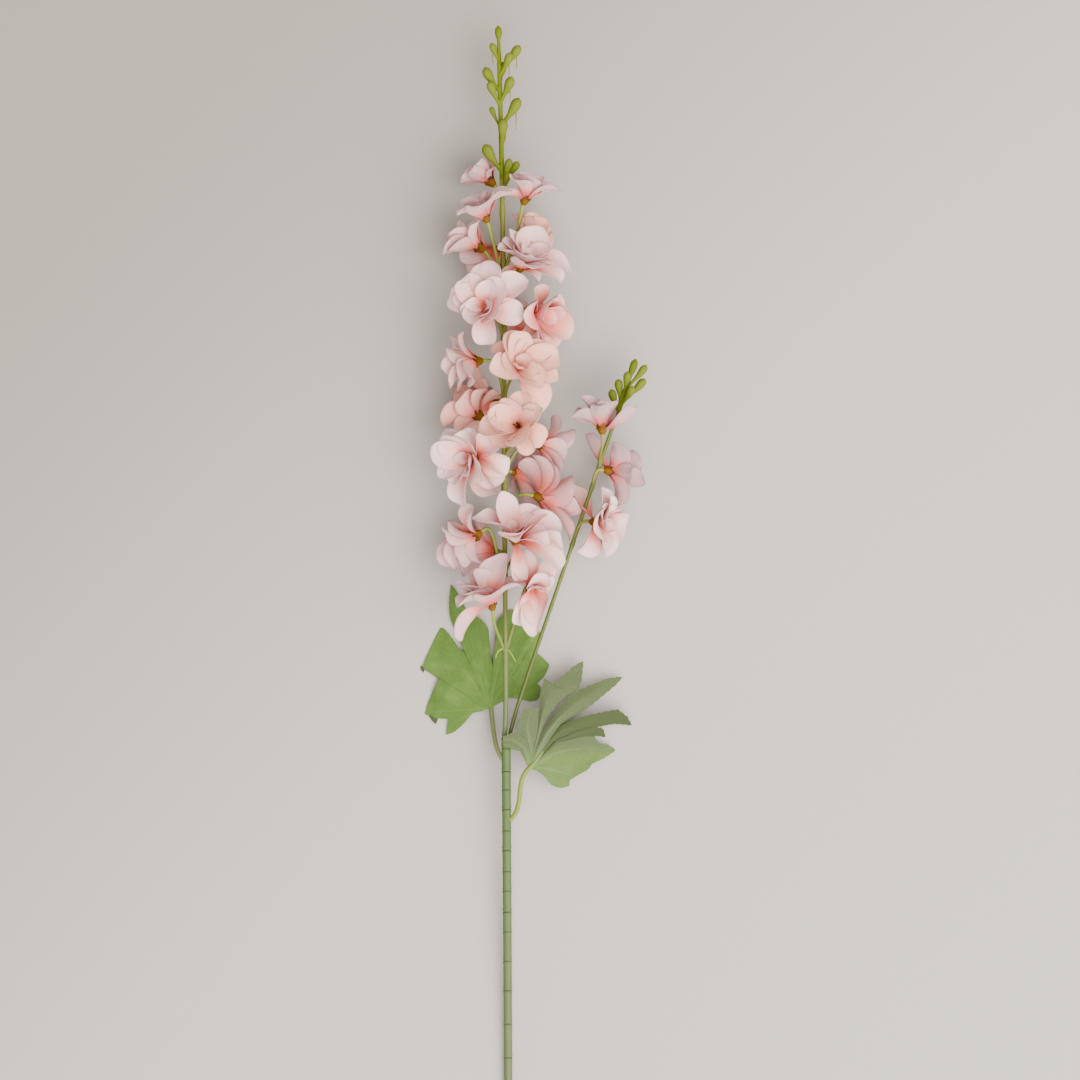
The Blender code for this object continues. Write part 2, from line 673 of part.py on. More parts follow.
def build():
    """Model the whole spray."""
    clear_scene()
    spray = bpy.data.collections.new("delphinium_spray")
    bpy.context.scene.collection.children.link(spray)
    root = bpy.data.objects.new("spray_root", None)
    spray.objects.link(root)
    stem_green = material("stem_green", STEM_GREEN)
    lime = material("bud_lime", BUD_LIME)
    stalk_green = material("stalk_green", STALK_GREEN)
    pale_green = material("petiole_green", PETIOLE_GREEN)
    leaf_green = material("leaf_green", LEAF_GREEN)
    blush = material("petal_blush", PETAL_BLUSH)
    finish(lower_stem(), "lower_stem", stem_green, spray, root)
    finish(flower_stem(), "flower_stem", stalk_green, spray, root)
    finish(side_branch(), "side_branch", stalk_green, spray, root)
    finish(bud_spire(), "bud_spire", lime, spray, root)
    finish(side_bud_tip(), "side_bud_tip", lime, spray, root)
    finish(petiole_left(), "petiole_left", pale_green, spray, root)
    finish(petiole_right(), "petiole_right", pale_green, spray, root)
    finish(leaf("leaf_left", LEFT_LEAF_BASE, LEFT_LEAF_OUTLINE), "leaf_left", leaf_green, spray, root)
    finish(leaf("leaf_right", RIGHT_LEAF_BASE, RIGHT_LEAF_OUTLINE), "leaf_right", leaf_green, spray, root)
    rods = stem_rods()
    for seed, bloom in enumerate(BLOOMS):
        finish(bloom_body(bloom, seed, rods), bloom.name, blush, spray, root)
    root.location = -BOX_CENTRE * MM


build()
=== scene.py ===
"""Looks of an artificial delphinium spray, laid on a pale surface.

Each CAD node is replaced by a finer piece of the same form: moulded plastic stems and buds, printed
cloth petals in moulded cups, and two printed cloth leaves.  Sizes are in millimetres, measured from
the same point as the CAD source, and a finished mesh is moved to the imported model's frame in metres.
"""

from __future__ import annotations

import logging
import math
from dataclasses import dataclass, field, replace
from enum import Enum
from random import Random
from typing import Iterable, Sequence

import bmesh
import bpy
import numpy as np
from bmesh.types import BMesh, BMFace, BMVert
from bpy.types import ID, ColorRamp, Material, Mesh, Node, NodeSocket, Object
from mathutils import Matrix, Quaternion, Vector


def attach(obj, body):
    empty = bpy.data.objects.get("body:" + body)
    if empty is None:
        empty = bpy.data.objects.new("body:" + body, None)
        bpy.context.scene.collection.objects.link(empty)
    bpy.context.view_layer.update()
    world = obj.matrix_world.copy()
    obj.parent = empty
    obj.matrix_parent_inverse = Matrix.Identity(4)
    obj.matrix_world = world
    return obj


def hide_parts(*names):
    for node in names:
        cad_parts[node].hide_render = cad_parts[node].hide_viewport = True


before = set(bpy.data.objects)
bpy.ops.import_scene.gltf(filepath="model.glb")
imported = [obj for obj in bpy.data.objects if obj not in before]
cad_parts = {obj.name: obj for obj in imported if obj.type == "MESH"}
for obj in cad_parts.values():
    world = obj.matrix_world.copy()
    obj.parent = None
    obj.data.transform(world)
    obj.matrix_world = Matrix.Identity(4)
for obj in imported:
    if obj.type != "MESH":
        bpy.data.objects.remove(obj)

LOG = logging.getLogger("delphinium_spray")
MM = 0.001
BOX_CENTRE = Vector((20.0, -41.0, 0.0))
TO_FRAME = Matrix.Scale(MM, 4) @ Matrix.Translation(-BOX_CENTRE)
MERGE_MM = 0.0005
SHARP_ANGLE = math.radians(55)
SURFACE = "surface"
MARK = "mark"
UNDERSIDE = "underside"
TINT = "tint"
SHADE = "shade"

Triple = tuple[float, float, float]
Colour = Triple
Array = np.ndarray
Span = tuple[float, float]


def srgb(red: int, green: int, blue: int) -> Colour:
    """Turn a colour as screens show it into linear light.

    Args:
        red: Red, 0 to 255.
        green: Green, 0 to 255.
        blue: Blue, 0 to 255.

    Returns:
        The colour in linear light.
    """
    return tuple(
        share / 12.92 if share <= 0.04045 else ((share + 0.055) / 1.055) ** 2.4
        for share in (red / 255.0, green / 255.0, blue / 255.0)
    )


# Shader helpers


class Value:
    """A number inside a shader, on which plain arithmetic adds Math nodes."""

    def __init__(self, sheet: ShaderSheet, link: NodeSocket) -> None:
        """Wrap one output socket of a sheet's node."""
        self.sheet = sheet
        self.link = link

    def math(self, operation: str, *others: Value | float, clamp: bool = False) -> Value:
        """Add one Math node, with its operation, its further inputs, and whether it clamps to 0 to 1."""
        return self.sheet.math(operation, self, *others, clamp=clamp)

    def __add__(self, other: Value | float) -> Value:
        """Sum."""
        return self.math("ADD", other)

    def __radd__(self, other: float) -> Value:
        """Sum, with the number first."""
        return self.sheet.math("ADD", other, self)

    def __sub__(self, other: Value | float) -> Value:
        """Difference."""
        return self.math("SUBTRACT", other)

    def __rsub__(self, other: float) -> Value:
        """Difference, with the number first."""
        return self.sheet.math("SUBTRACT", other, self)

    def __mul__(self, other: Value | float) -> Value:
        """Product."""
        return self.math("MULTIPLY", other)

    def __rmul__(self, other: float) -> Value:
        """Product, with the number first."""
        return self.sheet.math("MULTIPLY", other, self)

    def __truediv__(self, other: Value | float) -> Value:
        """Quotient."""
        return self.math("DIVIDE", other)

    def __pow__(self, other: float) -> Value:
        """Power."""
        return self.math("POWER", other)

    def __abs__(self) -> Value:
        """Distance from zero."""
        return self.math("ABSOLUTE")

    def wave(self, turns: float) -> Value:
        """A sine wave with so many turns a unit, between -1 and 1."""
        return (self * (turns * math.tau)).math("SINE")

    def rise(self, low: float, high: float) -> Value:
        """A smooth step.

        Args:
            low: Where the result is still 0.
            high: Where the result reaches 1; it may be lower than low.

        Returns:
            The step's height, between 0 and 1.
        """
        node = self.sheet.node(
            "ShaderNodeMapRange",
            {"interpolation_type": "SMOOTHSTEP"},
            {"Value": self, "From Min": low, "From Max": high},
        )
        return Value(self.sheet, node.outputs["Result"])


@dataclass
class ShaderSheet:
    """One material under construction."""

    name: str
    material: Material = field(init=False)

    def __post_init__(self) -> None:
        """Start an empty material with its output."""
        self.material = bpy.data.materials.new(self.name)
        self.material.use_nodes = True
        self.material.node_tree.nodes.clear()

    def node(self, kind: str, settings: dict, inputs: dict) -> Node:
        """Add one node.

        Args:
            kind: The node's type.
            settings: Its own properties; "stops" holds a colour ramp's places and colours.
            inputs: Values, wrapped values or links for its sockets, by name or number.

        Returns:
            The new node.
        """
        tree = self.material.node_tree
        made = tree.nodes.new(kind)
        for key, setting in settings.items():
            if key == "stops":
                self._set_stops(made.color_ramp, setting)
            else:
                setattr(made, key, setting)
        for key, given in inputs.items():
            socket = made.inputs[key]
            if isinstance(given, Value):
                tree.links.new(given.link, socket)
            elif isinstance(given, NodeSocket):
                tree.links.new(given, socket)
            elif isinstance(given, tuple) and socket.type == "RGBA":
                socket.default_value = (*given, 1.0)
            else:
                socket.default_value = given
        return made

    @staticmethod
    def _set_stops(ramp: ColorRamp, stops: Sequence[tuple[float, Colour]]) -> None:
        """Give a colour ramp its stops.

        Args:
            ramp: The new ramp, with its first two stops.
            stops: Place and colour of each stop.
        """
        while len(ramp.elements) < len(stops):
            ramp.elements.new(1.0)
        for element, (place, colour) in zip(ramp.elements, stops):
            element.position = place
            element.color = (*colour, 1.0)

    def math(self, operation: str, *inputs: Value | float, clamp: bool = False) -> Value:
        """Add a Math node and return its result."""
        settings = {"operation": operation, "use_clamp": clamp}
        return Value(self, self.node("ShaderNodeMath", settings, dict(enumerate(inputs))).outputs[0])

    def attribute(self, name: str) -> Value:
        """Read a number that is stored on the mesh."""
        settings = {"attribute_type": "GEOMETRY", "attribute_name": name}
        return Value(self, self.node("ShaderNodeAttribute", settings, {}).outputs["Fac"])

    def surface(self) -> tuple[Value, Value, NodeSocket]:
        """The piece's own UV map: the place across, the place along, and both as a vector."""
        uv = self.node("ShaderNodeUVMap", {"uv_map": SURFACE}, {}).outputs["UV"]
        across, along, _ = self.parts(uv)
        return across, along, uv

    def parts(self, vector: NodeSocket) -> list[Value]:
        """X, Y and Z of a vector."""
        outputs = self.node("ShaderNodeSeparateXYZ", {}, {"Vector": vector}).outputs
        return [Value(self, output) for output in outputs]

    def place(self) -> NodeSocket:
        """Object coordinates, in metres."""
        return self.node("ShaderNodeTexCoord", {}, {}).outputs["Object"]

    def noise(self, vector: NodeSocket, scale: float, detail: float = 2.0) -> Value:
        """Soft random patches around 0.5, with so many a unit and so many finer octaves."""
        inputs = {"Vector": vector, "Scale": scale, "Detail": detail}
        return Value(self, self.node("ShaderNodeTexNoise", {}, inputs).outputs["Fac"])

    def stretched(self, vector: NodeSocket, scale: Triple) -> NodeSocket:
        """Coordinates multiplied by a factor for each axis."""
        inputs = {0: vector, 1: scale}
        return self.node("ShaderNodeVectorMath", {"operation": "MULTIPLY"}, inputs).outputs[0]

    def mix(
        self,
        factor: Value | float,
        first: Colour | NodeSocket,
        second: Colour | NodeSocket,
        blend: str = "MIX",
    ) -> NodeSocket:
        """Blend two colours, where the factor is the share of the second."""
        settings = {"data_type": "RGBA", "blend_type": blend}
        return self.node("ShaderNodeMix", settings, {0: factor, 6: first, 7: second}).outputs[2]

    def shaded(self, colour: NodeSocket, shade: Value) -> NodeSocket:
        """A colour multiplied by a number."""
        inputs = {"Red": shade, "Green": shade, "Blue": shade}
        grey = self.node("ShaderNodeCombineColor", {}, inputs).outputs["Color"]
        return self.mix(1.0, colour, grey, "MULTIPLY")

    def ramp(self, factor: Value, stops: Sequence[tuple[float, Colour]]) -> NodeSocket:
        """A colour that follows a number through stops."""
        return self.node("ShaderNodeValToRGB", {"stops": stops}, {"Fac": factor}).outputs["Color"]

    def finish(
        self,
        colour: NodeSocket | Colour,
        roughness: Value | float,
        relief: Value | None = None,
        relief_height: float = 0.0001,
        fixed: dict | None = None,
        glow: float = 0.0,
    ) -> Material:
        """Add the surface shader and the material output.

        Args:
            colour: Base colour.
            roughness: Roughness.
            relief: Height pattern of the fine relief.
            relief_height: Height of the relief, in metres.
            fixed: Further sockets of the shader.
            glow: Share of the light that thin cloth lets through.

        Returns:
            The finished material.
        """
        inputs = {"Base Color": colour, "Roughness": roughness, **(fixed or {})}
        if relief is not None:
            bump_inputs = {"Height": relief, "Distance": relief_height, "Strength": 1.0}
            inputs["Normal"] = self.node("ShaderNodeBump", {}, bump_inputs).outputs["Normal"]
        shader = self.node("ShaderNodeBsdfPrincipled", {}, inputs).outputs["BSDF"]
        if glow > 0.0:
            through = self.node("ShaderNodeBsdfTranslucent", {}, {"Color": colour}).outputs["BSDF"]
            shader = self.node("ShaderNodeMixShader", {}, {0: glow, 1: shader, 2: through}).outputs[0]
        self.node("ShaderNodeOutputMaterial", {}, {"Surface": shader})
        return self.material


# Finishes


UNDERSIDE_STEP = (0.3, 0.9)


@dataclass(frozen=True)
class PetalCloth:
    """Heat-formed printed cloth: coral in the heart, then blush, then nearly white lilac.

    The print runs through its stops from the claw to the tip.  A share is how much of a colour lies
    over the print at most, a depth is how far a pattern changes the brightness, and a relief is a
    pattern's part in the fine relief.
    """

    name: str = "petal_cloth"
    heart: Colour = srgb(226, 108, 72)
    claw: Colour = srgb(240, 116, 106)
    throat: Colour = srgb(254, 162, 148)
    blush: Colour = srgb(255, 200, 190)
    tip: Colour = srgb(255, 220, 216)
    stops: tuple[float, ...] = (0.04, 0.14, 0.31, 0.52, 0.84)
    peach: Colour = srgb(255, 184, 150)
    peach_share: float = 0.7
    rose: Colour = srgb(250, 134, 122)
    rose_share: float = 0.8
    rose_shrink: float = 0.4
    lilac: Colour = srgb(246, 212, 218)
    lilac_share: float = 0.6
    pink: Colour = srgb(236, 108, 122)
    pink_share: float = 0.55
    # underside colour: the cloth's greyer mauve back, darkened further as painted shade
    under: Colour = srgb(216, 176, 176)
    under_share: float = 0.72
    under_peach_loss: float = 0.6
    # darker line along the petal's edge: the cut hem's own tone plus painted shade at the rim, stronger on
    # the underside
    hem_and_edge_shade: Colour = srgb(146, 112, 118)
    hem_and_edge_shade_share: float = 0.26
    under_hem_and_edge_shade_share: float = 0.4
    patch_scale: float = 3.0
    patch_shift: float = 0.16
    edge_lead: float = 0.05
    vein_turns: float = 9.0
    fine_vein_turns: float = 30.6
    streak_depth: float = 0.05
    fleck_scale: float = 9.0
    fleck_depth: float = 0.08
    thread_turns: Span = (48.0, 76.0)
    thread_relief: float = 0.12
    streak_relief: float = 0.5
    crumple_scale: float = 14.0
    crumple_relief: float = 0.8
    relief_height: float = 0.00022
    roughness: float = 0.82
    sockets: tuple[tuple[str, float], ...] = (
        ("Sheen Weight", 0.12), ("Sheen Roughness", 0.5), ("Specular IOR Level", 0.22),
    )
    glow: float = 0.24

    def make(self) -> Material:
        """Build the cloth, which reads each petal's UV map, side, tint and shade.

        Returns:
            The finished material.
        """
        sheet = ShaderSheet(self.name)
        across, along, uv = sheet.surface()
        aside = abs(across * 2.0 - 1.0)
        patches = sheet.noise(uv, self.patch_scale)
        under = sheet.attribute(UNDERSIDE).rise(*UNDERSIDE_STEP)
        colour = self._printed(sheet, along, aside, patches, under)
        streaks = self._streaks(across, along, patches)
        flecks = sheet.noise(uv, self.fleck_scale) - 0.5
        shade = sheet.attribute(SHADE) + streaks * self.streak_depth + flecks * self.fleck_depth
        colour = sheet.shaded(colour, shade)
        # hem tone and painted shade along the edges, stronger on the underside
        hem_and_edge_shade = aside.rise(0.91, 1.0).math("MAXIMUM", along.rise(0.95, 1.0))
        colour = sheet.mix(hem_and_edge_shade * (self.hem_and_edge_shade_share + under * self.under_hem_and_edge_shade_share), colour, self.hem_and_edge_shade)
        threads = across.wave(self.thread_turns[0]) * 0.5 + along.wave(self.thread_turns[1]) * 0.5
        crumple = sheet.noise(uv, self.crumple_scale) * self.crumple_relief
        relief = threads * self.thread_relief + streaks * self.streak_relief + crumple
        return sheet.finish(colour, self.roughness, relief, self.relief_height, dict(self.sockets), self.glow)

    def _printed(
        self,
        sheet: ShaderSheet,
        along: Value,
        aside: Value,
        patches: Value,
        under: Value,
    ) -> NodeSocket:
        """The cloth's print in the petal's tint.

        Args:
            sheet: The material under construction.
            along: Place along the petal, 0 at the claw and 1 at the tip.
            aside: Distance from its midline, 1 at its edges.
            patches: Soft patches that shift the print.
            under: 1 on the petal's underside.

        Returns:
            The printed colour.
        """
        tint = sheet.attribute(TINT)
        lilac = tint.rise(BloomTint.BLUSH.value, BloomTint.LILAC.value)
        rose = tint.rise(BloomTint.PEACH.value, BloomTint.ROSE.value)
        peach = tint.rise(BloomTint.BLUSH.value, BloomTint.PEACH.value) - rose
        reach = along * (1.0 - rose * self.rose_shrink)
        reach = reach + (patches - 0.5) * self.patch_shift - (1.0 - aside) * self.edge_lead
        inks = (self.heart, self.claw, self.throat, self.blush, self.tip)
        colour = sheet.ramp(reach, tuple(zip(self.stops, inks)))
        layers = (
            (peach * along.rise(0.1, 0.5) * self.peach_share, self.peach),
            (rose * along.rise(1.0, 0.3) * self.rose_share, self.rose),
            (lilac * along.rise(0.35, 0.9) * self.lilac_share, self.lilac),
            (lilac * reach.rise(0.5, 0.1) * self.pink_share, self.pink),
            # the underside's greyer back, with painted shade
            (
                under * (1.0 - peach * self.under_peach_loss) * along.rise(0.2, 0.6) * self.under_share,
                self.under,
            ),
        )
        for share, ink in layers:
            colour = sheet.mix(share, colour, ink)
        return colour

    def _streaks(self, across: Value, along: Value, patches: Value) -> Value:
        """Veins that fan out from the claw, coarse and fine.

        Args:
            across: Place across the petal.
            along: Place along it.
            patches: Soft patches that make the veins wander.

        Returns:
            The pattern, around 0.
        """
        fan = (across - 0.5) / (along * 0.6 + 0.4)
        coarse = (fan + (patches - 0.5) * 0.04).wave(self.vein_turns)
        fine = (fan + (patches - 0.5) * 0.03).wave(self.fine_vein_turns)
        return coarse * 0.5 + fine * 0.3


@dataclass(frozen=True)
class LeafCloth:
    """Printed cloth leaf with pressed veins.

    The dulling is the share of the dull colour in the lobes that lie past a place along the spray,
    in metres.  The veining is the share of the veins' colour.
    """

    name: str = "leaf_cloth"
    face: Colour = srgb(88, 118, 42)
    dark: Colour = srgb(72, 102, 32)
    pale: Colour = srgb(104, 132, 58)
    pale_share: float = 0.4
    vein: Colour = srgb(118, 142, 68)
    veining: float = 0.14
    net_veining: float = 0.1
    # underside colour: the cloth's back, darkened as painted shade on turned-over lobes and tips
    under: Colour = srgb(46, 50, 20)
    under_share: float = 0.8
    edge_share: float = 0.5
    dull: Colour = srgb(74, 84, 52)
    dulling: float = 0.0
    dull_from: Span = (-0.114, -0.1)
    rib_width: float = 0.8
    rib_end_width: float = 0.35
    rib_length: float = 55.0
    side_vein_turns: float = 0.16
    side_vein_lean: float = 1.25
    side_vein_wander: float = 3.0
    broad_scale: float = 26.0
    mottle_scale: float = 120.0
    net_scale: float = 420.0
    grain_scale: float = 900.0
    relief_height: float = 0.0002
    roughness: float = 0.74
    sheen: float = 0.1
    gloss: float = 0.3
    glow: float = 0.12

    def make(self) -> Material:
        """Build the cloth, whose UV map holds millimetres beside and along the nearest main vein.

        Returns:
            The finished material.
        """
        sheet = ShaderSheet(self.name)
        beside, along, uv = sheet.surface()
        place = sheet.place()
        mottle = sheet.noise(place, self.mottle_scale, 4.0)
        veins = self._veins(sheet, beside, along, uv)
        net = self._net(sheet, place)
        colour = sheet.mix(sheet.noise(place, self.broad_scale).rise(0.38, 0.66), self.dark, self.face)
        far = sheet.parts(place)[1]
        layers = (
            (mottle.rise(0.45, 0.75) * self.pale_share, self.pale),
            (far.rise(*self.dull_from) * self.dulling, self.dull),
            (veins * self.veining + net * self.net_veining, self.vein),
            # the back colour with painted shade, on the underside
            (sheet.attribute(UNDERSIDE).rise(*UNDERSIDE_STEP) * self.under_share, self.under),
            (sheet.attribute(MARK).rise(0.97, 1.0) * self.edge_share, self.dark),
        )
        for share, paint in layers:
            colour = sheet.mix(share, colour, paint)
        relief = sheet.noise(place, self.grain_scale) * 0.25 - veins - net * 0.2 + mottle * 0.6
        fixed = {"Specular IOR Level": self.gloss, "Sheen Weight": self.sheen}
        return sheet.finish(colour, self.roughness, relief, self.relief_height, fixed, self.glow)

    def _veins(self, sheet: ShaderSheet, beside: Value, along: Value, uv: NodeSocket) -> Value:
        """The main veins, which taper, and the side veins that leave them.

        Args:
            sheet: The material under construction.
            beside: Millimetres beside the nearest main vein.
            along: Millimetres along it.
            uv: Both as one vector.

        Returns:
            1 on a main vein and less on a side vein.
        """
        rib = self.rib_width * along.rise(self.rib_length, 0.0) + self.rib_end_width
        main = (beside / rib).rise(1.0, 0.3)
        wander = (sheet.noise(uv, 0.12) - 0.5) * self.side_vein_wander
        stripe = (along - beside * self.side_vein_lean + wander).wave(self.side_vein_turns)
        side = stripe.rise(0.965, 1.0) * beside.rise(0.2, 1.0)
        return main.math("MAXIMUM", side * 0.6)

    def _net(self, sheet: ShaderSheet, place: NodeSocket) -> Value:
        """The fine net between the veins: 1 on its threads."""
        settings = {"feature": "DISTANCE_TO_EDGE"}
        inputs = {"Vector": place, "Scale": self.net_scale}
        cells = sheet.node("ShaderNodeTexVoronoi", settings, inputs)
        return Value(sheet, cells.outputs["Distance"]).rise(0.09, 0.0)


@dataclass(frozen=True)
class StemPlastic:
    """Matt moulded plastic for stems, painted from one colour to another between two places along Y.

    The groove colour lies where the mesh is marked.
    """

    name: str
    near: Colour
    far: Colour
    groove: Colour
    near_y: float
    far_y: float
    roughness: float = 0.55
    gloss: float = 0.3
    drawn_scale: Triple = (420.0, 30.0, 420.0)
    cloud_scale: float = 55.0
    grain_scale: float = 700.0
    streak_depth: float = 0.22
    cloud_depth: float = 0.18
    darkest: float = 0.8
    relief_height: float = 0.00012
    flesh: float = 0.08
    flesh_depth: float = 0.002

    def make(self) -> Material:
        """Build the plastic; its paint follows Object coordinates and the mesh's marks.

        Returns:
            The finished material.
        """
        sheet = ShaderSheet(self.name)
        place = sheet.place()
        streaks = sheet.noise(sheet.stretched(place, self.drawn_scale), 1.0, 3.0)
        clouds = sheet.noise(place, self.cloud_scale, 3.0)
        along = sheet.parts(place)[1].rise(self.near_y * MM, self.far_y * MM)
        colour = sheet.mix(along, self.near, self.far)
        colour = sheet.mix(sheet.attribute(MARK), colour, self.groove)
        shade = self.darkest + streaks * self.streak_depth + clouds * self.cloud_depth
        colour = sheet.shaded(colour, shade)
        relief = streaks * 0.7 + sheet.noise(place, self.grain_scale) * 0.3
        roughness = self.roughness + (clouds - 0.5) * 0.2
        fixed = {
            "Specular IOR Level": self.gloss,
            "Subsurface Weight": self.flesh,
            "Subsurface Scale": self.flesh_depth,
        }
        return sheet.finish(colour, roughness, relief, self.relief_height, fixed)


@dataclass(frozen=True)
class CupPlastic:
    """Ochre moulded plastic of the small cups under the petals."""

    name: str = "cup_ochre"
    ochre: Colour = srgb(108, 70, 4)
    brown: Colour = srgb(62, 36, 4)
    ribs: float = 15.0
    patch_scale: float = 260.0
    relief_height: float = 0.00012
    roughness: float = 0.6
    gloss: float = 0.14

    def make(self) -> Material:
        """Build the plastic, darker in streaks towards the teeth.

        Returns:
            The finished material.
        """
        sheet = ShaderSheet(self.name)
        across, along, _ = sheet.surface()
        patches = sheet.noise(sheet.place(), self.patch_scale)
        colour = sheet.mix(along.rise(0.2, 0.9) * patches.rise(0.3, 0.7), self.ochre, self.brown)
        relief = across.wave(self.ribs) * 0.5 + patches
        fixed = {"Specular IOR Level": self.gloss}
        return sheet.finish(colour, self.roughness, relief, self.relief_height, fixed)


@dataclass(frozen=True)
class FloorPaint:
    """Plain pale surface that the spray lies on, with painted shade that makes it darker towards the far
    left.
    """

    name: str = "pale_floor"
    pale: Colour = srgb(170, 165, 158)
    patch: Colour = srgb(163, 158, 150)
    patch_share: float = 0.1
    # painted shade colour, laid over the far left of the floor
    painted_shade: Colour = srgb(146, 139, 130)
    painted_shade_from: Span = (-0.1, 0.6)
    roughness: float = 0.9
    gloss: float = 0.1

    def make(self) -> Material:
        """Build the paint, with hardly any pattern.

        Returns:
            The finished material.
        """
        sheet = ShaderSheet(self.name)
        place = sheet.place()
        x, y, _ = sheet.parts(place)
        colour = sheet.mix(sheet.noise(place, 2.0) * self.patch_share, self.pale, self.patch)
        # painted shade: the floor darkens towards the far left
        colour = sheet.mix((y - x).rise(*self.painted_shade_from), colour, self.painted_shade)
        return sheet.finish(colour, self.roughness, fixed={"Specular IOR Level": self.gloss})


# Mesh helpers


def bezier(start: Vector, start_pull: Vector, end_pull: Vector, end: Vector, steps: int) -> list[Vector]:
    """Points along one cubic curve.

    Args:
        start: First point.
        start_pull: Control point that the curve leaves towards.
        end_pull: Control point that the curve arrives from.
        end: Last point.
        steps: Number of stretches between points.

    Returns:
        The points, one more than the steps.
    """
    points = []
    for step in range(steps + 1):
        t = step / steps
        s = 1.0 - t
        points.append(start * s ** 3 + start_pull * 3 * s * s * t + end_pull * 3 * s * t * t + end * t ** 3)
    return points


def add_grid(bm: BMesh, columns: int, rows: int) -> list[tuple[BMVert, int, int]]:
    """Add a flat grid with its UV map, which is then bent into shape.

    Args:
        bm: The mesh that the grid is added to.
        columns: Faces across the grid.
        rows: Faces along it.

    Returns:
        Each corner with its column and its row.
    """
    made = bmesh.ops.create_grid(bm, x_segments=columns, y_segments=rows, size=1.0, calc_uvs=True)
    return [
        (vert, round(0.5 * (vert.co.x + 1.0) * columns), round(0.5 * (vert.co.y + 1.0) * rows))
        for vert in made["verts"]
    ]


def faces_of(grid: Sequence[tuple[BMVert, int, int]]) -> list[BMFace]:
    """The faces of a grid that add_grid made."""
    return list({face for vert, _, _ in grid for face in vert.link_faces})


def set_surface(bm: BMesh, faces: Iterable[BMFace], places: dict[BMVert, Span]) -> None:
    """Write each corner's place on the cloth, in millimetres, to the UV map."""
    surface = bm.loops.layers.uv[SURFACE]
    for face in faces:
        for loop in face.loops:
            loop[surface].uv = places[loop.vert]


def linked(name: str, data: ID) -> Object:
    """A new object in the scene."""
    made = bpy.data.objects.new(name, data)
    bpy.context.scene.collection.objects.link(made)
    return made


def new_mesh() -> BMesh:
    """An empty mesh with the UV map and the number layers that the finishes read."""
    bm = bmesh.new()
    bm.loops.layers.uv.new(SURFACE)
    bm.verts.layers.float.new(MARK)
    for name in (UNDERSIDE, TINT, SHADE):
        bm.faces.layers.float.new(name)
    return bm


def sweep(
    bm: BMesh,
    points: Sequence[Vector],
    radii: Sequence[float],
    sides: int = 12,
    marks: Sequence[float] | None = None,
    finish_index: int = 0,
) -> None:
    """Add a closed round tube along points.

    Args:
        bm: The mesh that the tube is added to.
        points: Centre line, in millimetres.
        radii: Radius at each point.
        sides: Faces round the tube.
        marks: Number stored at each point for the finish to read; 0 if left out.
        finish_index: Which of the piece's finishes the tube wears.
    """
    marks = marks or [0.0] * len(points)
    grid = add_grid(bm, sides, len(points) - 1)
    layer = bm.verts.layers.float[MARK]
    rings = ring_frames(points)
    for vert, column, row in grid:
        side, up = rings[row]
        angle = math.tau * column / sides
        vert.co = points[row] + (side * math.cos(angle) + up * math.sin(angle)) * radii[row]
        vert[layer] = marks[row]
    faces = faces_of(grid)
    bmesh.ops.remove_doubles(bm, verts=[vert for vert, _, _ in grid], dist=MERGE_MM)
    faces = [face for face in faces if face.is_valid]
    edges = {edge for face in faces for edge in face.edges if edge.is_boundary}
    faces += bmesh.ops.holes_fill(bm, edges=list(edges), sides=sides)["faces"]
    for face in faces:
        face.material_index = finish_index
    bmesh.ops.recalc_face_normals(bm, faces=faces)


def ring_frames(points: Sequence[Vector]) -> list[tuple[Vector, Vector]]:
    """Unit vectors square to a centre line, which turn as little as they can.

    Args:
        points: The centre line.

    Returns:
        Two vectors for each point.
    """
    frames = []
    side = Vector((1.0, 0.0, 0.0))
    last = len(points) - 1
    for index in range(len(points)):
        ahead = points[min(index + 1, last)] - points[max(index - 1, 0)]
        ahead.normalize()
        if index == 0 and abs(ahead.x) > 0.9:
            side = Vector((0.0, 0.0, 1.0))
        side = (side - ahead * side.dot(ahead)).normalized()
        frames.append((side, ahead.cross(side)))
    return frames


def smooth_profile(stations: Sequence[Span], count: int) -> tuple[list[float], list[float]]:
    """Even places along a profile, with its values smoothly joined.

    Args:
        stations: Place and value pairs, in order.
        count: Number of places wanted.

    Returns:
        The places and the values.
    """
    known, values = np.array(stations, dtype=float).T
    places = np.linspace(known[0], known[-1], count)
    slopes = np.gradient(values, known)
    spots = np.clip(np.searchsorted(known, places, side="right") - 1, 0, len(known) - 2)
    width = known[spots + 1] - known[spots]
    t = (places - known[spots]) / width
    joined = (
        (2 * t ** 3 - 3 * t ** 2 + 1) * values[spots]
        + (t ** 3 - 2 * t ** 2 + t) * width * slopes[spots]
        + (3 * t ** 2 - 2 * t ** 3) * values[spots + 1]
        + (t ** 3 - t ** 2) * width * slopes[spots + 1]
    )
    return list(places), list(joined)


def thickened(sheets: BMesh, name: str, thickness: float) -> Mesh:
    """Give open sheets their thickness and store which side each face is on.

    Args:
        sheets: The open sheets, which are freed.
        name: Name of the mesh.
        thickness: Thickness in millimetres.

    Returns:
        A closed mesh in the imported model's frame.
    """
    bmesh.ops.transform(sheets, matrix=TO_FRAME, verts=sheets.verts)
    mesh = bpy.data.meshes.new(name)
    sheets.to_mesh(mesh)
    sheets.free()
    count = len(mesh.polygons)
    holder = linked(name, mesh)
    wall = holder.modifiers.new("Wall", "SOLIDIFY")
    wall.thickness = thickness * MM
    wall.offset = 0.0
    wall.use_quality_normals = True
    graph = bpy.context.evaluated_depsgraph_get()
    closed = bpy.data.meshes.new_from_object(holder.evaluated_get(graph))
    bpy.data.objects.remove(holder)
    rims = len(closed.polygons) - 2 * count
    sides = [0.0] * count + [1.0] * count + [0.5] * rims
    closed.attributes[UNDERSIDE].data.foreach_set("value", sides)
    return closed


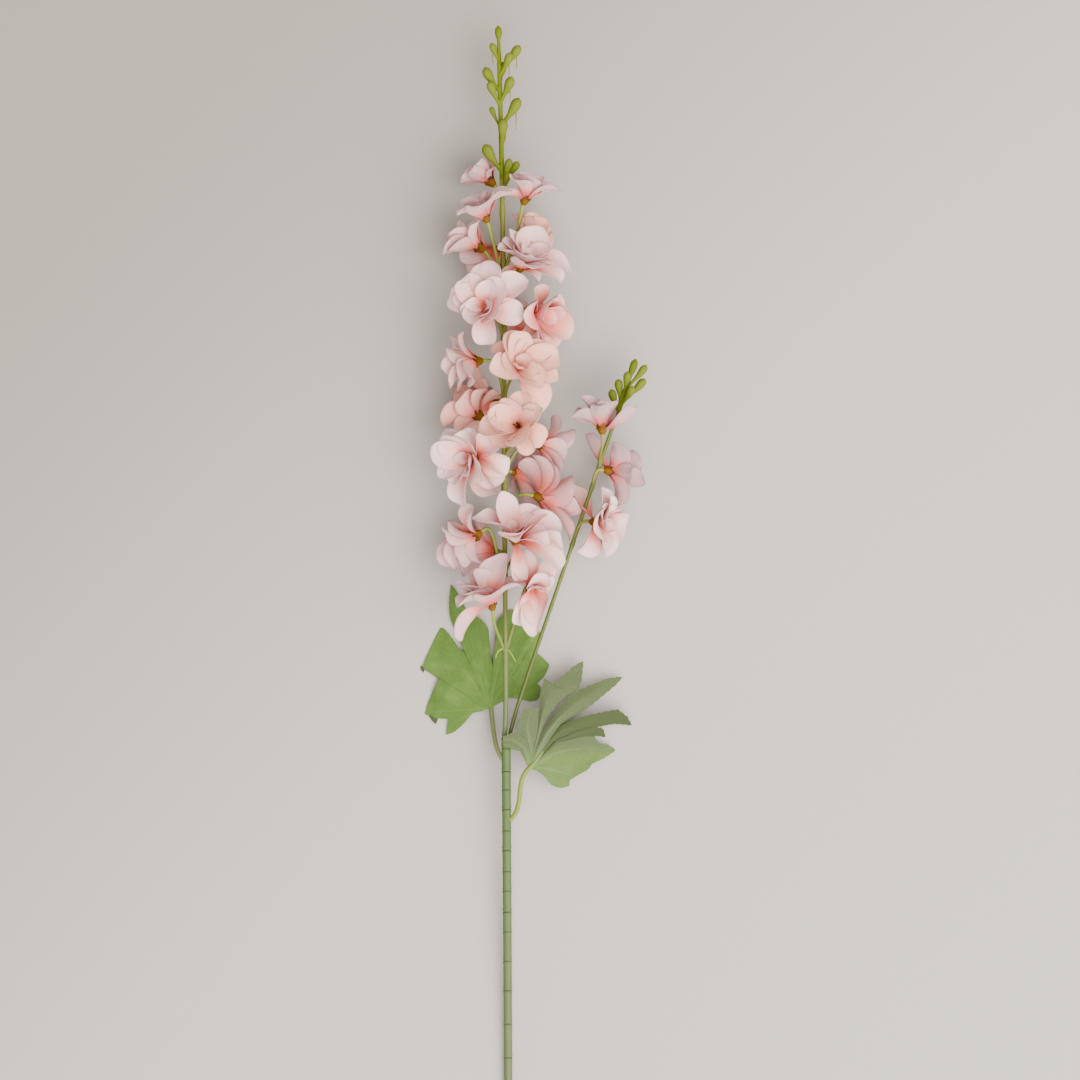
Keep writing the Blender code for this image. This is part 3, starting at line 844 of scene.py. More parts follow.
def add_piece(
    name: str,
    meshes: Sequence[Mesh],
    finishes: Sequence[Material],
    node: str,
) -> None:
    """Join meshes into one piece that stands for a CAD node.

    Args:
        name: The piece's name.
        meshes: Its meshes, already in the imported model's frame.
        finishes: Its materials, in the order of the faces' indices.
        node: The CAD node that it replaces.
    """
    bm = bmesh.new()
    for mesh in meshes:
        bm.from_mesh(mesh)
    joined = bpy.data.meshes.new(name)
    bm.to_mesh(joined)
    bm.free()
    for finish in finishes:
        joined.materials.append(finish)
    joined.shade_smooth()
    joined.set_sharp_from_angle(angle=SHARP_ANGLE)
    piece = linked(name, joined)
    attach(piece, "root")
    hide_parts(node)
    LOG.info("%s: %d faces for %s", name, len(joined.polygons), node)


def solid_mesh(bm: BMesh, name: str) -> Mesh:
    """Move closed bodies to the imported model's frame, as a mesh of the given name."""
    bmesh.ops.transform(bm, matrix=TO_FRAME, verts=bm.verts)
    mesh = bpy.data.meshes.new(name)
    bm.to_mesh(mesh)
    bm.free()
    return mesh


# The spray's two axes


@dataclass(frozen=True)
class MainAxis:
    """Centre line of the main stem, from its cut end to the tip of the spike."""

    cut_end_y: float = -441
    stem_top_y: float = -138.7
    level_from_y: float = 29
    tip_y: float = 347
    foot_height: float = 3.2
    spike_height: float = 34
    middle_x: float = -0.78
    lean: float = 0.0055
    bend: float = 2.35
    bend_from_y: float = 150

    def point(self, y: float) -> Vector:
        """Centre of the stem at a place along the spray."""
        bent = max(0.0, y - self.bend_from_y) / (self.tip_y - self.bend_from_y)
        x = self.middle_x - self.lean * y - self.bend * bent ** 2
        part = min(1.0, max(0.0, (y - self.cut_end_y) / (self.level_from_y - self.cut_end_y)))
        climb = (self.spike_height - self.foot_height) * math.sin(0.5 * math.pi * part) ** 2
        return Vector((x, y, self.foot_height + climb))


@dataclass(frozen=True)
class SideAxis:
    """Centre line of the side branch, which leaves the top of the thick stem."""

    main: MainAxis
    foot_x: float = 2.1
    lean: float = 0.342
    climb: float = 0.032
    elbow: float = 2
    elbow_length: float = 15

    def point(self, y: float) -> Vector:
        """Centre of the branch at a place along the spray."""
        along = y - self.main.stem_top_y
        x = self.foot_x + self.lean * along - self.elbow * (1.0 - math.exp(-along / self.elbow_length))
        return Vector((x, y, self.main.point(self.main.stem_top_y).z + self.climb * along))


Axis = MainAxis | SideAxis
MAIN_AXIS = MainAxis()
SIDE_AXIS = SideAxis(MAIN_AXIS)


# Blooms


class BloomTint(Enum):
    """Print of a bloom's cloth, as the number that the petal finish reads."""

    LILAC = 0
    BLUSH = 0.5
    PEACH = 1
    ROSE = 1.5


class Branch(Enum):
    """Which stem carries a bloom."""

    MAIN = "main"
    SIDE = "side"


@dataclass(frozen=True)
class Tip:
    """Where one petal ends: X, Y, and height over the foot of the cup.

    The roll in degrees, the width and how far the petal's foot rises over its chord, in degrees, are
    given where they aren't left to the maker.
    """

    x: float
    y: float
    height: float
    roll: float = 0
    width: float | None = None
    foot_lift: float = 42


@dataclass(frozen=True)
class Bloom:
    """Where one bloom's cup sits, how it faces, and how long its petals are.

    The turn is in the plane of the surface, from +X, and the rise above it, both in degrees.  The foot
    is where its stalk leaves the stem, the bow is how far the stalk swings out, and the floor is as
    low as its petals go.  The tips are fields of Tip, for the petals that show.  The doubling is the
    share of the inner petals that it has, and the widest gap between outer ones stays open.
    """

    name: str
    cup: Triple
    turn: float
    rise: float
    length: float
    foot: float
    tint: BloomTint = BloomTint.BLUSH
    branch: Branch = Branch.MAIN
    tips: tuple[tuple[float, ...], ...] = ()
    floor: float = 0
    open_throat: bool = False
    bow: float = 0
    doubling: float = 1
    widest_gap: float = 92
    cup_size: float = 1
    # darkens all of a bloom's cloth; below 1 it is painted shade
    shade: float = 1
    beside_branch: bool = False

    HEART_ABOVE_CUP = 8

    @property
    def look(self) -> Vector:
        """Unit vector that the bloom faces along."""
        turn = math.radians(self.turn)
        rise = math.radians(self.rise)
        level = math.cos(rise)
        return Vector((math.cos(turn) * level, math.sin(turn) * level, math.sin(rise)))

    @property
    def upright(self) -> Quaternion:
        """Turn of a cup that looks along +Z to the bloom's look."""
        return self.look.to_track_quat("Z", "Y")

    @property
    def base(self) -> Vector:
        """Foot of the cup."""
        return Vector(self.cup)

    @property
    def heart(self) -> Vector:
        """Middle of the bloom, inside its petals."""
        return self.base + self.look * self.HEART_ABOVE_CUP


LILAC = BloomTint.LILAC
PEACH = BloomTint.PEACH
ROSE = BloomTint.ROSE
SIDE = Branch.SIDE
BLOOMS = (
    Bloom("bloom_01", (-7.7, 247.8, 30), 135, -5, 24, 228, LILAC, doubling=0.35, tips=(
        (-29.5, 256, 6), (-20, 262.5, 10), (-9, 259.5, 6), (-32, 249, 0))),
    Bloom("bloom_02", (11.9, 233, 43), 70, 10, 24, 186, LILAC, bow=5, doubling=0.35, tips=(
        (4, 253.5, 4), (12, 257.5, -6), (26, 254, 0), (38, 243, 4), (17, 251.5, 17), (-8.5, 235, 8))),
    Bloom("bloom_03", (-12.6, 220.5, 45), 112, 12, 25, 177, LILAC, bow=-2.5, doubling=0.35, tips=(
        (-28, 234, 10), (-12, 244, 6), (-35, 225, 4), (2.5, 241, 12), (-31, 236, -6))),
    Bloom("bloom_04", (-15, 201.5, 34), 142, 8, 26, 169, bow=-5, doubling=0.35, tips=(
        (-45.5, 198, 8), (-40, 212, 12), (-33.5, 223.5, 2), (-17, 222.5, 14))),
    Bloom("bloom_05", (10.5, 207, 25), 52, 42, 25, 184, PEACH, doubling=0.5, tips=(
        (20, 229, 6), (29, 222, 10), (33.5, 211, 8), (6, 229, 0), (31, 202, 4))),
    Bloom("bloom_06", (8.6, 186, 46), 62, 30, 28, 164, tips=(
        (-4.5, 201, 14), (3.5, 213, 10), (32, 201.5, 8), (43, 186, 10), (39, 177, 2), (-2, 182.5, 0),
        (22.5, 178.5, 2))),
    Bloom("bloom_07", (-12.5, 159.8, 52.4), 150, 72, 30, 140, doubling=0.75, tips=(
        (-10.5, 192.5, 5), (13.5, 180.5, 4), (12.5, 154, 9), (-12.5, 135, 4), (-29, 181.5, 8),
        (-40, 168, 5), (-30, 154.5, 10))),
    Bloom("bloom_08", (16.5, 160, 42), -20, 34, 29, 146, ROSE, doubling=0.6, tips=(
        (38, 170, 10), (42, 159, 12), (45, 140.5, 6), (29.5, 131.5, 2), (11, 144, 6), (21, 176.5, 14))),
    Bloom("bloom_09", (-15.7, 125, 40), 186, 4, 28, 98, doubling=0.5, tips=(
        (-39, 105.5, 4), (-40.5, 131.5, 12), (-44, 121, 8), (-21, 110, 15), (-29.5, 146.5, 4))),
    Bloom("bloom_10", (6.9, 117, 52.5), 50, 66, 30, 96, PEACH, doubling=0.75, tips=(
        (8.5, 144.5, 12), (38, 125.5, 8), (35, 112.5, 6), (-8.5, 133.5, 4), (24.5, 90.5, 0),
        (-2, 113.5, 10))),
    Bloom("bloom_11", (-15.4, 84.7, 36), 148, -22, 28, 66, PEACH, doubling=0.1, tips=(
        (-45.5, 79, 2, 0, 20), (-34, 73, -4), (-29, 100.5, 8, 0, 21), (-14.5, 105.5, 2, 0, 18),
        (-4, 102, -6))),
    Bloom("bloom_12", (12, 76, 52.5), 140, 60, 29, 56, PEACH, open_throat=True, tips=(
        (-12, 88, 14), (-1.5, 96.5, 12), (-17.5, 76.5, 8), (-3, 65, 8), (17.5, 59.5, 8), (27.5, 68, 6),
        (24, 92.5, 8))),
    Bloom("bloom_13", (19, 67, 34), -4, -16, 27, 44, doubling=0.1, widest_gap=220, tips=(
        (48.5, 76, 2, 0, 17), (42, 58, 6, 0, 20), (35, 45, 2, 0, 20), (24, 44, -2))),
    Bloom("bloom_14", (-18.7, 58, 46), 187, 48, 30, 38, doubling=0.75, tips=(
        (-52, 62.5, 8), (-44, 71.5, 12), (-22.5, 77.5, 10), (-4, 70, 12), (3.5, 51, 8), (-3, 42, 4),
        (-30.5, 24, -2), (-45.5, 45.5, 6), (-5, 33, -9))),
    Bloom("bloom_15", (18.9, 31, 38), -12, -16, 29, 22, ROSE, doubling=0.35, tips=(
        (46, 35.5, 2), (50, 19, -4), (44, 2, -6), (24, 8, -2), (18.5, 59, 2), (31, 54, 0), (8, 54, -9))),
    Bloom("bloom_16", (7, -4, 52), 95, 34, 31, -26, doubling=0.6, tips=(
        (-3, 32, 14), (19, 16, 14), (-20, 14.5, 12), (28.5, -2, 17), (40, 6.5, 8), (39, -21, 6),
        (38.5, -6.5, -2), (10.5, -30.5, 0, 0, 12))),
    Bloom("bloom_17", (-16.8, 6, 38), 214, -6, 29, -32, bow=-4, doubling=0.35, tips=(
        (-42, 7.5, 12), (-39, -19, 8), (-47.5, -15.5, 2), (-21.5, 23, 10), (-18, -16, 4), (-39.5, 13.5, 4))),
    Bloom(
        "bloom_18", (17, -30.4, 44), -70, 58, 29, -79, floor=7, bow=3.5, doubling=0.4, widest_gap=150,
        beside_branch=True,
        tips=(
            (9, -60.5, 4, 0, 20), (19, -64.5, 6, 0, 20), (25.5, -57, 4), (30, -44, 8), (34.5, -27, 6),
            (31, -13.5, 2), (10, -7.5, 8),
        ),
    ),
    Bloom("bloom_19", (-9.1, -49, 46), 100, 14, 29, -80, LILAC, floor=7, bow=-3, doubling=0.3, tips=(
        (-36.5, -32, 8, 0, 20), (-34, -46, 8, 0, 20), (0.5, -10, -5, 0, 24), (-21.5, -20.5, 2, 0, 22),
        (14, -31.5, 10, 0, 18), (-30, -71.3, 2, 46, 14.5))),
    # shade=0.84 on these two side-branch blooms is painted shade that darkens their cloth
    Bloom("bloom_20", (67.2, 73, 45), 92, -12, 25, 52, LILAC, SIDE, doubling=0.35, shade=0.84, tips=(
        (45.4, 84.8, 3, 0, 14), (53.4, 100.4, 2, 0, 15), (73, 94.6, 15, 0, 17), (92.3, 91.6, 4, 0, 19, -20),
        (63, 98, -4, 0, 16))),
    Bloom("bloom_21", (68, 49, 33), -6, -14, 25, 37, LILAC, SIDE, doubling=0.2, shade=0.84, tips=(
        (55.5, 74, -11, 0, 15, -10), (76.5, 67.5, 8, 35, 18), (96, 40.5, 6, 0, 15), (91, 62, -2, 40, 18),
        (78, 24.5, 4, -40, 14))),
    Bloom("bloom_22", (58.5, 13, 34), -8, 28, 26, -4, BloomTint.BLUSH, SIDE, doubling=0.6, tips=(
        (67, 36, 8, 0, 18), (44.5, 40, -18, -35, 17, -15), (74, 29, 14), (77, 13.5, 8), (70.5, -12, 2),
        (50, -9, 4))),
    Bloom("bloom_23", (-4.2, 206, 20.5), 215, -40, 27, 192, doubling=0.6, cup_size=0.6),
    Bloom("bloom_24", (3.4, 142, 20.5), 20, -42, 28, 128, doubling=0.6, cup_size=0.6),
    Bloom("bloom_25", (-4.6, 98, 20.5), 190, -42, 29, 84, PEACH, doubling=0.6, cup_size=0.6),
    Bloom("bloom_26", (3.4, 48, 20.5), -15, -40, 29, 34, doubling=0.6, cup_size=0.6),
    Bloom("bloom_27", (-4.6, -8, 23), 170, -26, 28, -28, floor=4, doubling=0.6, cup_size=0.6),
)


def stalk_route(bloom: Bloom, steps: int) -> list[Vector]:
    """Centre line of a bloom's stalk, from inside the stem to the foot of its cup.

    Args:
        bloom: The bloom.
        steps: Number of stretches before the last one, which is straight.

    Returns:
        The points.
    """
    axis = SIDE_AXIS if bloom.branch is Branch.SIDE else MAIN_AXIS
    foot = axis.point(bloom.foot)
    end = bloom.base
    span = (end - foot).length
    outward = (end - foot).normalized()
    leave = foot + Vector((0.0, 1.0, 0.0)).lerp(outward, 0.35).normalized() * span * 0.4
    collar = end - bloom.look * 2.0
    arrive = collar - bloom.look * span * 0.3
    bow = Vector((bloom.bow, 0.0, 0.0))
    return bezier(foot, leave + bow, arrive + bow * 0.6, collar, steps) + [end]


@dataclass(frozen=True)
class Petal:
    """One petal, in the frame of its cup, which looks along +Z.

    Angles are in degrees and lengths in millimetres.  The base is the radius and height where it
    starts in the cup and its slope there, and the tip's rise is its slope at its end.  The layer is
    its place in the stack of petals.  An aimed petal ends at a given place, and one below the stems
    isn't pressed by them.
    """

    turn: float
    length: float
    base: Triple
    tip_rise: float
    twist: float
    layer: float
    width_share: float
    hollow: float
    ruffle: float
    ruffle_phase: float
    tip_curl: float
    tip_point: float
    shade: float
    tint_shift: float = 0
    roll: float = 0
    aimed: bool = False
    below_stems: bool = False

    WIDEST = 0.60
    CLAW = 0.20
    CREASE_DEPTH = 0.3
    CREASE_WIDTH = 0.16
    ROLLED_FROM = 0.4
    CURLED_FROM = 0.5

    def outline(self, across: Array, along: Array) -> tuple[Array, Array, Array]:
        """Map a square onto the petal's outline: a narrow claw that widens into a round blade.

        Args:
            across: Places across the square, from -1 to 1.
            along: Places along it, from 0 to 1.

        Returns:
            Places across and along the petal, as shares, and its half width there.
        """
        claw = np.clip(along / self.WIDEST, 0.0, 1.0)
        past = np.clip((along - self.WIDEST) / (1.0 - self.WIDEST), 0.0, 1.0)
        width = self.CLAW + (1.0 - self.CLAW) * np.sin(0.5 * np.pi * claw) ** 1.3
        round_width = np.sqrt(1.0 - 0.5 * past ** 2)
        round_length = past * np.sqrt(1.0 - 0.5 * across ** 2)
        point = self.tip_point * past ** 3 * (1.0 - across ** 2) ** 2
        length = np.minimum(along, self.WIDEST) + (1.0 - self.WIDEST) * (round_length + point)
        return across * width * round_width, length, width * round_width

    def surface(self, across: Array, along: Array) -> Array:
        """Points of the petal's middle surface.

        Args:
            across: Places across the petal, from -1 to 1.
            along: Places along it, from 0 to 1.

        Returns:
            One row of X, Y and Z for each place.
        """
        side, along, width = self.outline(across, along)
        base_radius, base_height, base_rise = self.base
        base = math.radians(base_rise)
        bend = math.radians(self.tip_rise) - base
        slope = base + bend * along
        reach = base_radius + self.length * (np.sin(slope) - math.sin(base)) / bend
        lift = base_height + self.length * (math.cos(base) - np.cos(slope)) / bend
        half = 0.5 * self.width_share * self.length
        twist = math.radians(self.twist) * np.sin(np.pi * np.minimum(1.0, along + 0.15))
        rolled = np.clip(along / self.ROLLED_FROM, 0.0, 1.0)
        twist = twist + math.radians(self.roll) * rolled ** 2 * (3.0 - 2.0 * rolled)
        edge = np.abs(side)
        wave = np.sin(math.tau * (0.9 * side + self.ruffle_phase) + 2.0 * along)
        fine = np.sin(math.tau * (2.3 * side - 1.7 * self.ruffle_phase) + 5.0 * along)
        ruffle = self.ruffle * (wave + 0.3 * fine) * along ** 3 * (0.2 + 0.8 * edge)
        curled = np.clip((along - self.CURLED_FROM) / (1.0 - self.CURLED_FROM), 0.0, 1.2)
        curl = self.tip_curl * curled ** 2
        furrow = np.exp(-(side / self.CREASE_WIDTH) ** 2)
        crease = -self.CREASE_DEPTH * furrow * np.sin(np.pi * np.clip(along, 0.0, 1.0))
        hollow = self.hollow * half * side ** 2 / (0.35 + 0.65 * width)
        inward = side * half * np.sin(twist) + hollow + ruffle + curl + crease
        radial = reach - inward * np.sin(slope)
        height = lift + inward * np.cos(slope)
        sideways = side * half * np.cos(twist)
        turn = math.radians(self.turn)
        x = radial * math.cos(turn) - sideways * math.sin(turn)
        y = radial * math.sin(turn) + sideways * math.cos(turn)
        return np.stack((x, y, height), axis=1)


@dataclass(frozen=True)
class Wall:
    """A half space that petals stay in, and how far petals and aimed petals may reach over its edge."""

    normal: Vector
    edge: float
    give: float = 0
    aimed_give: float = 0

    MARGIN = 0.3

    def depth(self, points: Array, petal: Petal, layer_step: float) -> Array:
        """How far points of a petal lie inside the half space.

        Args:
            points: One row for each point.
            petal: The petal.
            layer_step: Distance between neighbouring layers.

        Returns:
            One distance for each point, below 0 outside.
        """
        give = self.aimed_give if petal.aimed else self.give
        margin = self.MARGIN + layer_step * petal.layer - give
        return points @ np.array(self.normal) - self.edge - margin


@dataclass(frozen=True)
class Rod:
    """A stem, stalk or bud that petals stay clear of, and the name of the bloom that it carries."""

    points: Sequence[Vector]
    radius: float
    owner: str = ""


@dataclass
class Room:
    """The space that one bloom has between the surface, its neighbours and the stems.

    A give is how far petals may reach over the edge of a wall, and an aimed one is for aimed petals.
    """

    bloom: Bloom
    rods: Sequence[Rod]
    reach: float = 46
    neighbour_reach: float = 59.8
    clearance: float = 0.45
    cup_radius: float = 4
    back_gap: float = 0.4
    aimed_back_give: float = 20
    neighbour_give: float = 8
    aimed_neighbour_give: float = 15
    rod_give: float = 0.6
    aimed_rod_give: float = 6
    branch_gap: float = 2.2

    def walls(self) -> list[Wall]:
        """Every half space that holds the bloom.

        Returns:
            The walls of the surface, the bloom's own back, its neighbours, the branch and the rods.
        """
        look = self.bloom.look
        middle = self.bloom.heart
        walls = [
            Wall(Vector((0.0, 0.0, 1.0)), self.bloom.floor),
            Wall(look, look.dot(self.bloom.base) + self.back_gap, 0.0, self.aimed_back_give),
        ]
        for other in BLOOMS:
            apart = middle - other.heart
            if other is self.bloom or apart.length > self.neighbour_reach:
                continue
            normal = apart.normalized()
            edge = normal.dot(middle) - 0.5 * apart.length
            walls.append(Wall(normal, edge, self.neighbour_give, self.aimed_neighbour_give))
        if self.bloom.beside_branch:
            run = (SIDE_AXIS.point(middle.y + 1.0) - SIDE_AXIS.point(middle.y)).normalized()
            away = Vector((-run.y, run.x, 0.0)).normalized()
            walls.append(Wall(away, away.dot(SIDE_AXIS.point(middle.y)) + self.branch_gap))
        for rod in self.rods:
            if rod.owner != self.bloom.name:
                walls.extend(self._rod_wall(middle, rod))
        return walls

    def _rod_wall(self, middle: Vector, rod: Rod) -> list[Wall]:
        """The half space beside one rod.

        Args:
            middle: Middle of the bloom.
            rod: The rod.

        Returns:
            One wall, or none if the rod is out of reach.
        """
        near = min(
            (nearest_on(first, second, middle) for first, second in zip(rod.points, rod.points[1:])),
            key=lambda point: (point - middle).length,
        )
        apart = middle - near
        if apart.length > self.reach:
            return []
        normal = apart.normalized()
        close = [point for point in rod.points if (point - near).length < self.reach] + [near]
        edge = max(normal.dot(point) for point in close) + rod.radius
        limit = normal.dot(middle) - self.cup_radius - self.clearance
        return [Wall(normal, min(edge, limit), self.rod_give, self.aimed_rod_give)]


def nearest_on(first: Vector, second: Vector, point: Vector) -> Vector:
    """The nearest place to a point on a straight stretch."""
    run = second - first
    share = max(0.0, min(1.0, (point - first).dot(run) / run.length_squared))
    return first + run * share


@dataclass(frozen=True)
class PetalRing:
    """One ring of inner petals: lengths are shares of the bloom's, and slopes are in degrees.

    The base is the radius and height where the petals start in the cup, and their slope there.
    """

    count: int
    offset: float
    lengths: Span
    tip_rises: Span
    base: Triple
    layer: float


@dataclass
class BloomMaker:
    """Builds blooms: rings of cloth petals in a toothed cup.

    The outer petals are the aimed ones and those that fill the gaps between them.  Every petal starts
    in the cup, and is pressed clear of what lies beside the bloom.
    """

    cloth: Material
    cup_plastic: Material
    petal_columns: int = 14
    petal_rows: int = 16
    petal_thickness: float = 0.32
    width_share: float = 0.76
    widths: Span = (18, 22.5)
    fullness: float = 1.05
    upright_from: float = 40
    outer_counts: tuple[int, int] = (5, 6)
    outer_spacing: float = 66
    outer_lengths: Span = (0.94, 1.05)
    outer_base: Triple = (1.7, 3, 58)
    outer_tip_rises: Span = (-6, 10)
    outer_twist: float = 18
    aimed_base: Span = (1.6, 3.2)
    aimed_steepest: float = 76
    aimed_twists: Span = (4, 20)
    aimed_layer: float = 1.5
    aimed_curl: float = 0.4
    below_stems: float = -11
    inner_twist: float = 12
    inner_rings: tuple[PetalRing, ...] = (
        PetalRing(5, 36, (0.76, 0.94), (-4, 38), (0.9, 5, 54), 3),
        PetalRing(4, 20, (0.58, 0.76), (12, 54), (0.6, 6.2, 53), 4),
        PetalRing(3, 65, (0.38, 0.52), (48, 88), (0.3, 7, 58), 5),
    )
    press_rounds: int = 10
    layer_step: float = 0.5
    first_softness: float = 2.6
    later_softness: float = 0.4
    slide_share: float = 0.6
    held_to: Span = (0.04, 0.16)
    lifts: tuple[float, ...] = (0, 12, -12, 24, 38, 55)
    lift_cost: float = 0.02
    shortenings: tuple[float, ...] = (1, 0.88, 0.76)
    shortening_cost: float = 6
    cup_columns: int = 40
    cup_rows: int = 9
    cup_profile: tuple[Span, ...] = (
        (0, 0.8), (0.5, 1.6), (1.6, 2.4), (3.2, 3), (4.8, 3.4), (6, 3.65), (7.6, 4.3),
    )
    teeth: int = 5
    tooth_depth: float = 3.4
    tooth_flare: float = 0.15
    button: tuple[Span, ...] = ((-0.4, 0.5), (0, 1.3), (0.8, 1.6), (2, 1.5), (3.4, 1.1))
    heart: tuple[Span, ...] = ((2.4, 1.5), (4.6, 2.3), (6.4, 2), (8, 1.3), (9, 0.4))
    heart_print: float = 0.08
    stamens: int = 7
    stamen_radii: tuple[float, ...] = (0.3, 0.28, 0.25, 0.25, 0.4, 0.55, 0.2)
    stamen_heights: Span = (10, 13)
    stamen_spreads: Span = (1.6, 2.6)

    def petals(self, bloom: Bloom, seed: int) -> list[Petal]:
        """The petals of one bloom.

        Args:
            bloom: The bloom.
            seed: The bloom's number, which fixes its random draws.

        Returns:
            Its outer, middle and inner petals.
        """
        rng = Random(seed)
        extra = Random(seed + 100)
        start = rng.uniform(0.0, 60.0)
        made = [self._aimed(extra, bloom, Tip(*tip)) for tip in bloom.tips]
        if made:
            turns = self._open_turns([petal.turn for petal in made], bloom.widest_gap)
        else:
            count = self.outer_counts[bloom.rise > self.upright_from]
            turns = [start + 360.0 * index / count for index in range(count)]
        for index, turn in enumerate(turns):
            length = bloom.length * self.fullness * rng.uniform(*self.outer_lengths)
            turn += rng.uniform(-5.0, 5.0)
            tip_rise = rng.uniform(*self.outer_tip_rises)
            twist = self.outer_twist + rng.uniform(-3.0, 3.0)
            made.append(self._petal(extra, turn, length, self.outer_base, tip_rise, twist, index % 3))
        rings = self.inner_rings[:-1] if bloom.open_throat else self.inner_rings
        for ring in rings:
            made.extend(self._ring_petals(extra, bloom, ring, start + ring.offset))
        return made

    def _ring_petals(self, rng: Random, bloom: Bloom, ring: PetalRing, start: float) -> list[Petal]:
        """The petals of one inner ring.

        Args:
            rng: Source of the random draws.
            bloom: The bloom.
            ring: The ring.
            start: Direction of its first petal, in degrees.

        Returns:
            The petals.
        """
        made = []
        count = round(ring.count * bloom.doubling)
        for index in range(count):
            turn = start + 360.0 * index / count + rng.uniform(-12.0, 12.0)
            length = bloom.length * rng.uniform(*ring.lengths)
            tip_rise = rng.uniform(*ring.tip_rises)
            twist = self.inner_twist + rng.uniform(-8.0, 8.0)
            made.append(self._petal(rng, turn, length, ring.base, tip_rise, twist, ring.layer))
        return made

    def _open_turns(self, turns: Sequence[float], widest: float) -> list[float]:
        """Directions that fill the wide gaps between petals round the cup.

        Args:
            turns: Directions of the petals that are there.
            widest: The widest gap that stays open.

        Returns:
            Directions for further petals.
        """
        ordered = sorted(turn % 360.0 for turn in turns)
        filled = []
        for first, second in zip(ordered, ordered[1:] + [ordered[0] + 360.0]):
            gap = second - first
            extra = round(gap / self.outer_spacing) - 1 if gap > widest else 0
            filled.extend(first + gap * (index + 1) / (extra + 1) for index in range(extra))
        return filled

    def _aimed(self, rng: Random, bloom: Bloom, tip: Tip) -> Petal:
        """A petal that ends at a given place.

        Args:
            rng: Source of the random draws.
            bloom: The bloom.
            tip: The place.

        Returns:
            The petal.
        """
        place = Vector((tip.x, tip.y, bloom.base.z + tip.height)) - bloom.base
        local = bloom.upright.inverted() @ place
        base_radius, base_height = self.aimed_base
        run = math.hypot(local.x, local.y) - base_radius
        climb = local.z - base_height
        chord = math.degrees(math.atan2(climb, run))
        base_rise = min(self.aimed_steepest, chord + tip.foot_lift)
        tip_rise = 2.0 * chord - base_rise
        half = math.radians(0.5 * (base_rise - tip_rise))
        length = math.hypot(run, climb) * half / math.sin(half)
        turn = math.degrees(math.atan2(local.y, local.x))
        base = (base_radius, base_height, base_rise)
        twist = rng.uniform(*self.aimed_twists)
        petal = self._petal(rng, turn, length, base, tip_rise, twist, self.aimed_layer)
        share = min(petal.width_share, rng.uniform(*self.widths) / length)
        return replace(
            petal,
            width_share=share if tip.width is None else tip.width / length,
            roll=tip.roll,
            tip_curl=self.aimed_curl * petal.tip_curl,
            aimed=True,
            below_stems=tip.height <= self.below_stems,
        )

    def _petal(self, rng: Random, *shape: float | Triple) -> Petal:
        """One petal with its own small differences.

        Args:
            rng: Source of the random draws.
            shape: Its turn, length, base, tip's rise, twist and layer.

        Returns:
            The petal.
        """
        return Petal(
            *shape,
            width_share=self.width_share * rng.uniform(0.88, 1.16),
            hollow=rng.uniform(0.25, 0.6),
            ruffle=rng.uniform(0.3, 1.3),
            ruffle_phase=rng.random(),
            tip_curl=rng.uniform(-2.5, 2.5),
            tip_point=rng.choice((0.0, 0.0, 0.12, 0.22, -0.08)),
            shade=rng.uniform(0.92, 1.03),
            tint_shift=rng.uniform(-0.12, 0.12),
        )

    def pressed(self, points: Array, walls: Sequence[Wall], petal: Petal, look: Vector) -> Array:
        """Move a petal's points clear of what it presses on, in a soft bend.

        Args:
            points: One row for each point.
            walls: The half spaces.
            petal: The petal.
            look: Unit vector that the bloom faces along.

        Returns:
            The moved points.
        """
        for repeat in range(self.press_rounds + 1):
            soft = self.later_softness if repeat else self.first_softness
            for wall in walls:
                depth = wall.depth(points, petal, self.layer_step)
                bent = (soft - depth) ** 2 / (4.0 * soft)
                short = np.where(depth > soft, 0.0, np.where(depth < -soft, -depth, bent))
                slide = look - wall.normal * look.dot(wall.normal)
                if repeat == 0 and slide.length > 0.3:
                    points = points + np.outer(short, np.array(slide.normalized()) * self.slide_share)
                points = points + np.outer(short, np.array(wall.normal))
        return points

    @staticmethod
    def placed(petal: Petal, bloom: Bloom, across: Array, along: Array) -> Array:
        """Points of a petal where its bloom holds it, one row each."""
        return petal.surface(across, along) @ np.array(bloom.upright.to_matrix()).T + np.array(bloom.base)

    def fitted(self, petal: Petal, bloom: Bloom, walls: Sequence[Wall]) -> Petal:
        """The pose of a petal that has the most room; an aimed petal stays as it is.

        Args:
            petal: The petal.
            bloom: Its bloom.
            walls: The half spaces.

        Returns:
            The petal, perhaps raised, lowered or a little shorter.
        """
        if petal.aimed:
            return petal
        across, along = np.meshgrid(np.linspace(-1.0, 1.0, 5), np.linspace(0.3, 1.0, 6))
        best = petal
        least = math.inf
        for shortening in self.shortenings:
            for lift in self.lifts:
                trial = replace(petal, length=petal.length * shortening, tip_rise=petal.tip_rise + lift)
                points = self.placed(trial, bloom, across.ravel(), along.ravel())
                cost = self.lift_cost * abs(lift) + self.shortening_cost * (1.0 - shortening)
                for wall in walls:
                    depth = wall.depth(points, trial, self.layer_step)
                    cost += float(np.clip(1.0 - depth, 0.0, None).mean())
                if cost < least:
                    best = trial
                    least = cost
        return best

